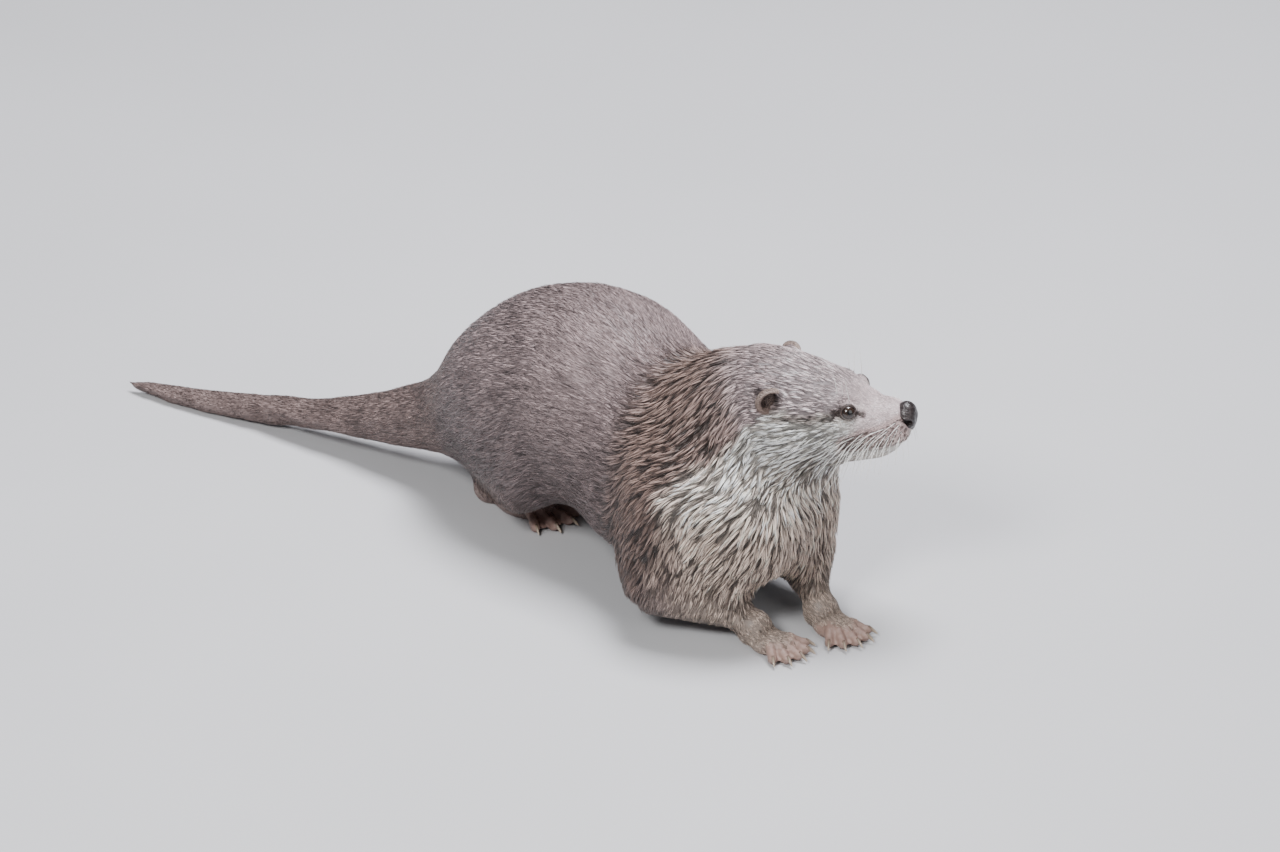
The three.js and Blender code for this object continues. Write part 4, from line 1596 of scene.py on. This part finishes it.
measures = lock_measures()
under = dict(
    measures,
    width=UNDER_WIDTH * measures["width"],
    length=UNDER_LENGTH * measures["length"],
    lift=UNDER_LIFT * measures["lift"],
    gather=UNDER_GATHER * measures["gather"],
    # The under locks are painted dark with the skin's painted shadow, as shade beneath the coat.
    root=1 - 0.85 * fur_shadow,
    tip=1.1 - 0.55 * fur_shadow,
)
bed = Bed(skin, lie)
to_area = (1 - bare) * (1 - on_toes) / (FOOTPRINT * measures["length"] * measures["width"])
pale = paleness(places(skin))
head_zone = head_share > 0.5
mane_zone = ~head_zone & (pale <= 0.4) & (share_of(SHAGGY_PARTS, weights) > 0.5)
leg_zone = share_of(["lower", "paw"], weights) > 0.5
throat_zone = (pale > 0.4) & ~head_zone & ~leg_zone
back_zone = ~head_zone & ~throat_zone & ~mane_zone & ~leg_zone

# %% Grow the locks
ahead = face_points[:, 0]
over_face = OVERLAP["face"] + OVERLAP["nape"] * smooth_step(0, -36, ahead)
over_face += OVERLAP["cheek"] * pale * smooth_step(10, -10, ahead)
under_area = OVERLAP["under"] / (UNDER_WIDTH * UNDER_LENGTH) * to_area * smooth_step(20, -8, ahead)
triangles = 0
for name, slot_name, steps, of, area in [
    ("face_locks", "face_fur", 2, measures, over_face * to_area * head_zone),
    ("throat_locks", "throat_fur", 3, measures, OVERLAP["throat"] * to_area * throat_zone),
    ("mane_locks", "coat", 3, measures, OVERLAP["mane"] * to_area * mane_zone),
    ("back_locks", "coat", 2, measures, OVERLAP["back"] * to_area * back_zone),
    ("leg_locks", "coat", 2, measures, OVERLAP["legs"] * to_area * leg_zone),
    ("under_locks", "coat", 1, under, under_area),
]:
    triangles += grow(bed, of, area, steps, name, slot_name)
print("coat:", triangles, "triangles")

# %% [markdown]
# ## Fur of the ears
# The backs and rims of the ears carry short hair too. The hollow gets a quarter as many locks, and
# stays dark.

# %% Ear fur
EAR_COAT = dict(
    length=3.4 * MM, width=0.7 * MM, lift=0.4 * MM, gather=0.15, shade_dashes=0.03, root=0.8, tip=1.2
)
EAR_OVERLAP = 3.6

for side, ear in ears.items():
    own = to_ear(to_head(places(ear)), side)
    radial = 0.08 * own * [1, 0, 1] + [-1.0, 0, 0.35]
    ear_lie = flat_on(unit(radial) @ ear_frame(side) @ HEAD_TURN, normals_of(ear).astype(float))
    ear_measures = {field: np.full(len(own), value) for field, value in EAR_COAT.items()}
    ear_measures["colour"] = ear_colours(own)
    footprint = FOOTPRINT * EAR_COAT["length"] * EAR_COAT["width"]
    ear_area = EAR_OVERLAP * (0.25 + 0.75 * (1 - hollow_share(own))) / footprint
    ear_bed = Bed(ear, ear_lie, sort=True)
    grow(ear_bed, ear_measures, ear_area, 2, f"ear_locks_{side}", "ear_fur")

# %% [markdown]
# ## Whiskers
# An otter hunts by touch, with stiff white whiskers in rows on the pads, and a few over the eyes
# and on the cheeks. Each is a thin tapering cone along a gently bent line, with a dark root. They
# sweep back and down, those of the left side more upwards, and all lie close enough to the face
# to stay near the solids' outline.

# %% Whiskers
WHISKER_ROOT, WHISKER_THICK, WHISKER_THIN, WHISKER_SIDES, WHISKER_STEPS = 0.42, 0.27, 0.06, 5, 9
WHISKER_RISE, WHISKER_OUT = {"right": 1.2, "left": 2.6}, {"right": 0.6, "left": 0.25}
WHITE_HAIR = linear(246, 244, 240)


def whisker_lines(side):
    """For each whisker its root, its direction and its length, in the head's millimetres."""
    sign = SIDES[side]
    whiskers = []
    for number, place in enumerate(whisker_roots(side)):
        back, above = (41 - place[0]) / 41, (place[2] - mouth_height(place[0]) - 3) / 15
        out, rise = sign * (WHISKER_OUT[side] - 0.2 * back), -1.5 + WHISKER_RISE[side] * above
        if number % 2 or above < 0.1:
            heading = [0.05 - 0.7 * back - 0.9 * above, out, rise]
            whiskers.append((place, heading, 14 + 21 * back))
    for ahead, height in ((2, 11.5), (-3, 12.5), (-8, 11.5)):
        whiskers.append(([ahead, sign * 19, height], [-0.25, sign * 0.3, 1.0], 25))
    for ahead, height in ((-24, -13), (-28, -17)):
        whiskers.append(([ahead, sign * 40, height], [-0.9, sign * 0.3, -0.6], 18))
    return whiskers


def whisker_points(root, heading, length):
    """The rings of points round one whisker, from its root to its tip."""
    share = np.linspace(0, 1, WHISKER_STEPS)
    turns = np.arange(WHISKER_SIDES) * 2 * math.pi / WHISKER_SIDES
    place, normal, _, _ = bed.tree.find_nearest(from_head(np.array(root)))
    heading = unit(unit(heading + RNG.normal(0, 0.09, 3)) @ HEAD_TURN + 0.2 * np.array(normal))
    length *= RNG.uniform(0.75, 1.1) * MM
    sag = np.array([0, 0, -0.12]) + RNG.normal(0, 0.03, 3)
    line = np.array(place) + np.outer(share - 0.04, heading) * length
    line += np.outer(share**2, sag) * length
    radius = (WHISKER_THIN + (WHISKER_THICK - WHISKER_THIN) * (1 - share)) * MM
    radius[0] = WHISKER_ROOT * MM
    first = unit(np.cross(heading, [0, 0, 1]))
    second = np.cross(heading, first)
    ring = np.outer(np.cos(turns), first) + np.outer(np.sin(turns), second)
    return (line[:, None] + radius[:, None, None] * ring).reshape(-1, 3)


def whisker_faces():
    """The faces of one whisker: its sides ring by ring, then its two ends."""
    around = np.arange(WHISKER_SIDES)
    side = np.stack([around, np.roll(around, -1)], 1)
    side = np.concatenate([side, side[:, ::-1] + WHISKER_SIDES], 1)
    sides = [side + step * WHISKER_SIDES for step in range(WHISKER_STEPS - 1)]
    ends = [around[::-1], around + (WHISKER_STEPS - 1) * WHISKER_SIDES]
    return [*np.concatenate(sides), *ends]


def whisker_mesh():
    lines = [line for side in SIDES for line in whisker_lines(side)]
    points = np.concatenate([whisker_points(*line) for line in lines])
    starts = np.arange(len(lines)) * WHISKER_STEPS * WHISKER_SIDES
    faces = [(face + start).tolist() for start in starts for face in whisker_faces()]
    light = smooth_step(-0.02, 0.13, np.linspace(0, 1, WHISKER_STEPS))
    tones = HUES["dark"] + (WHITE_HAIR - HUES["dark"]) * light[:, None]
    mesh = bpy.data.meshes.new("whiskers")
    mesh.from_pydata(points.tolist(), [], faces)
    write_colours(mesh, np.tile(np.repeat(tones, WHISKER_SIDES, axis=0), (len(lines), 1)))
    mesh.shade_smooth()
    return mesh


whiskers = seat(link(bpy.data.objects.new("whiskers", whisker_mesh())), "face_fur", "whisker")
print("whiskers:", len(whiskers.data.polygons), "faces")

# %% [markdown]
# ## Stage
# A pale plain floor and soft lights, which show the form and the gloss of a wet coat.

# %% Seat the skin
skin.data.materials.clear()
write(skin.data.polygons, "material_index", np.zeros(len(skin.data.polygons)), np.int32)
skin.data.shade_smooth()
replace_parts(seat(skin, "paw_skin"), *FLESH)

# %% Stage
WORLD_LIGHT = 0.14
LIT_PLACE = Vector((0.1, 0, 0.1))

bpy.ops.mesh.primitive_plane_add(size=12, location=(0, 0, 0))
floor = bpy.context.active_object
floor.name = "floor"
floor_paint = Paint("floor")
grain = floor_paint.noise(floor_paint.place(), 3.0)
floor_tone = floor_paint.mix(grain, (0.5, 0.5, 0.51, 1), (0.56, 0.56, 0.57, 1))
floor.data.materials.append(floor_paint.finish(floor_tone, 0.6 + 0.1 * grain, grain, 0.1 * MM))

world = bpy.data.worlds.new("studio")
bpy.context.scene.world = world
world.use_nodes = True
background = world.node_tree.nodes["Background"].inputs
background["Color"].default_value = (0.85, 0.9, 1.0, 1)
background["Strength"].default_value = WORLD_LIGHT


def softbox(name, place, size, power, colour=(1, 1, 1)):
    """A square lamp that looks at the animal."""
    light = bpy.data.lights.new(name, "AREA")
    light.size = size
    light.energy = power
    light.color = colour
    lamp = link(bpy.data.objects.new(name, light))
    lamp.location = place
    lamp.rotation_euler = (LIT_PLACE - lamp.location).to_track_quat("-Z", "Y").to_euler()


softbox("key", (0.7, -1.7, 1.8), 0.7, 56)
softbox("fill", (2.2, 0.1, 1.2), 1.4, 12)
softbox("top", (-0.1, 0.55, 2.3), 1.0, 118, (0.95, 0.95, 1.0))
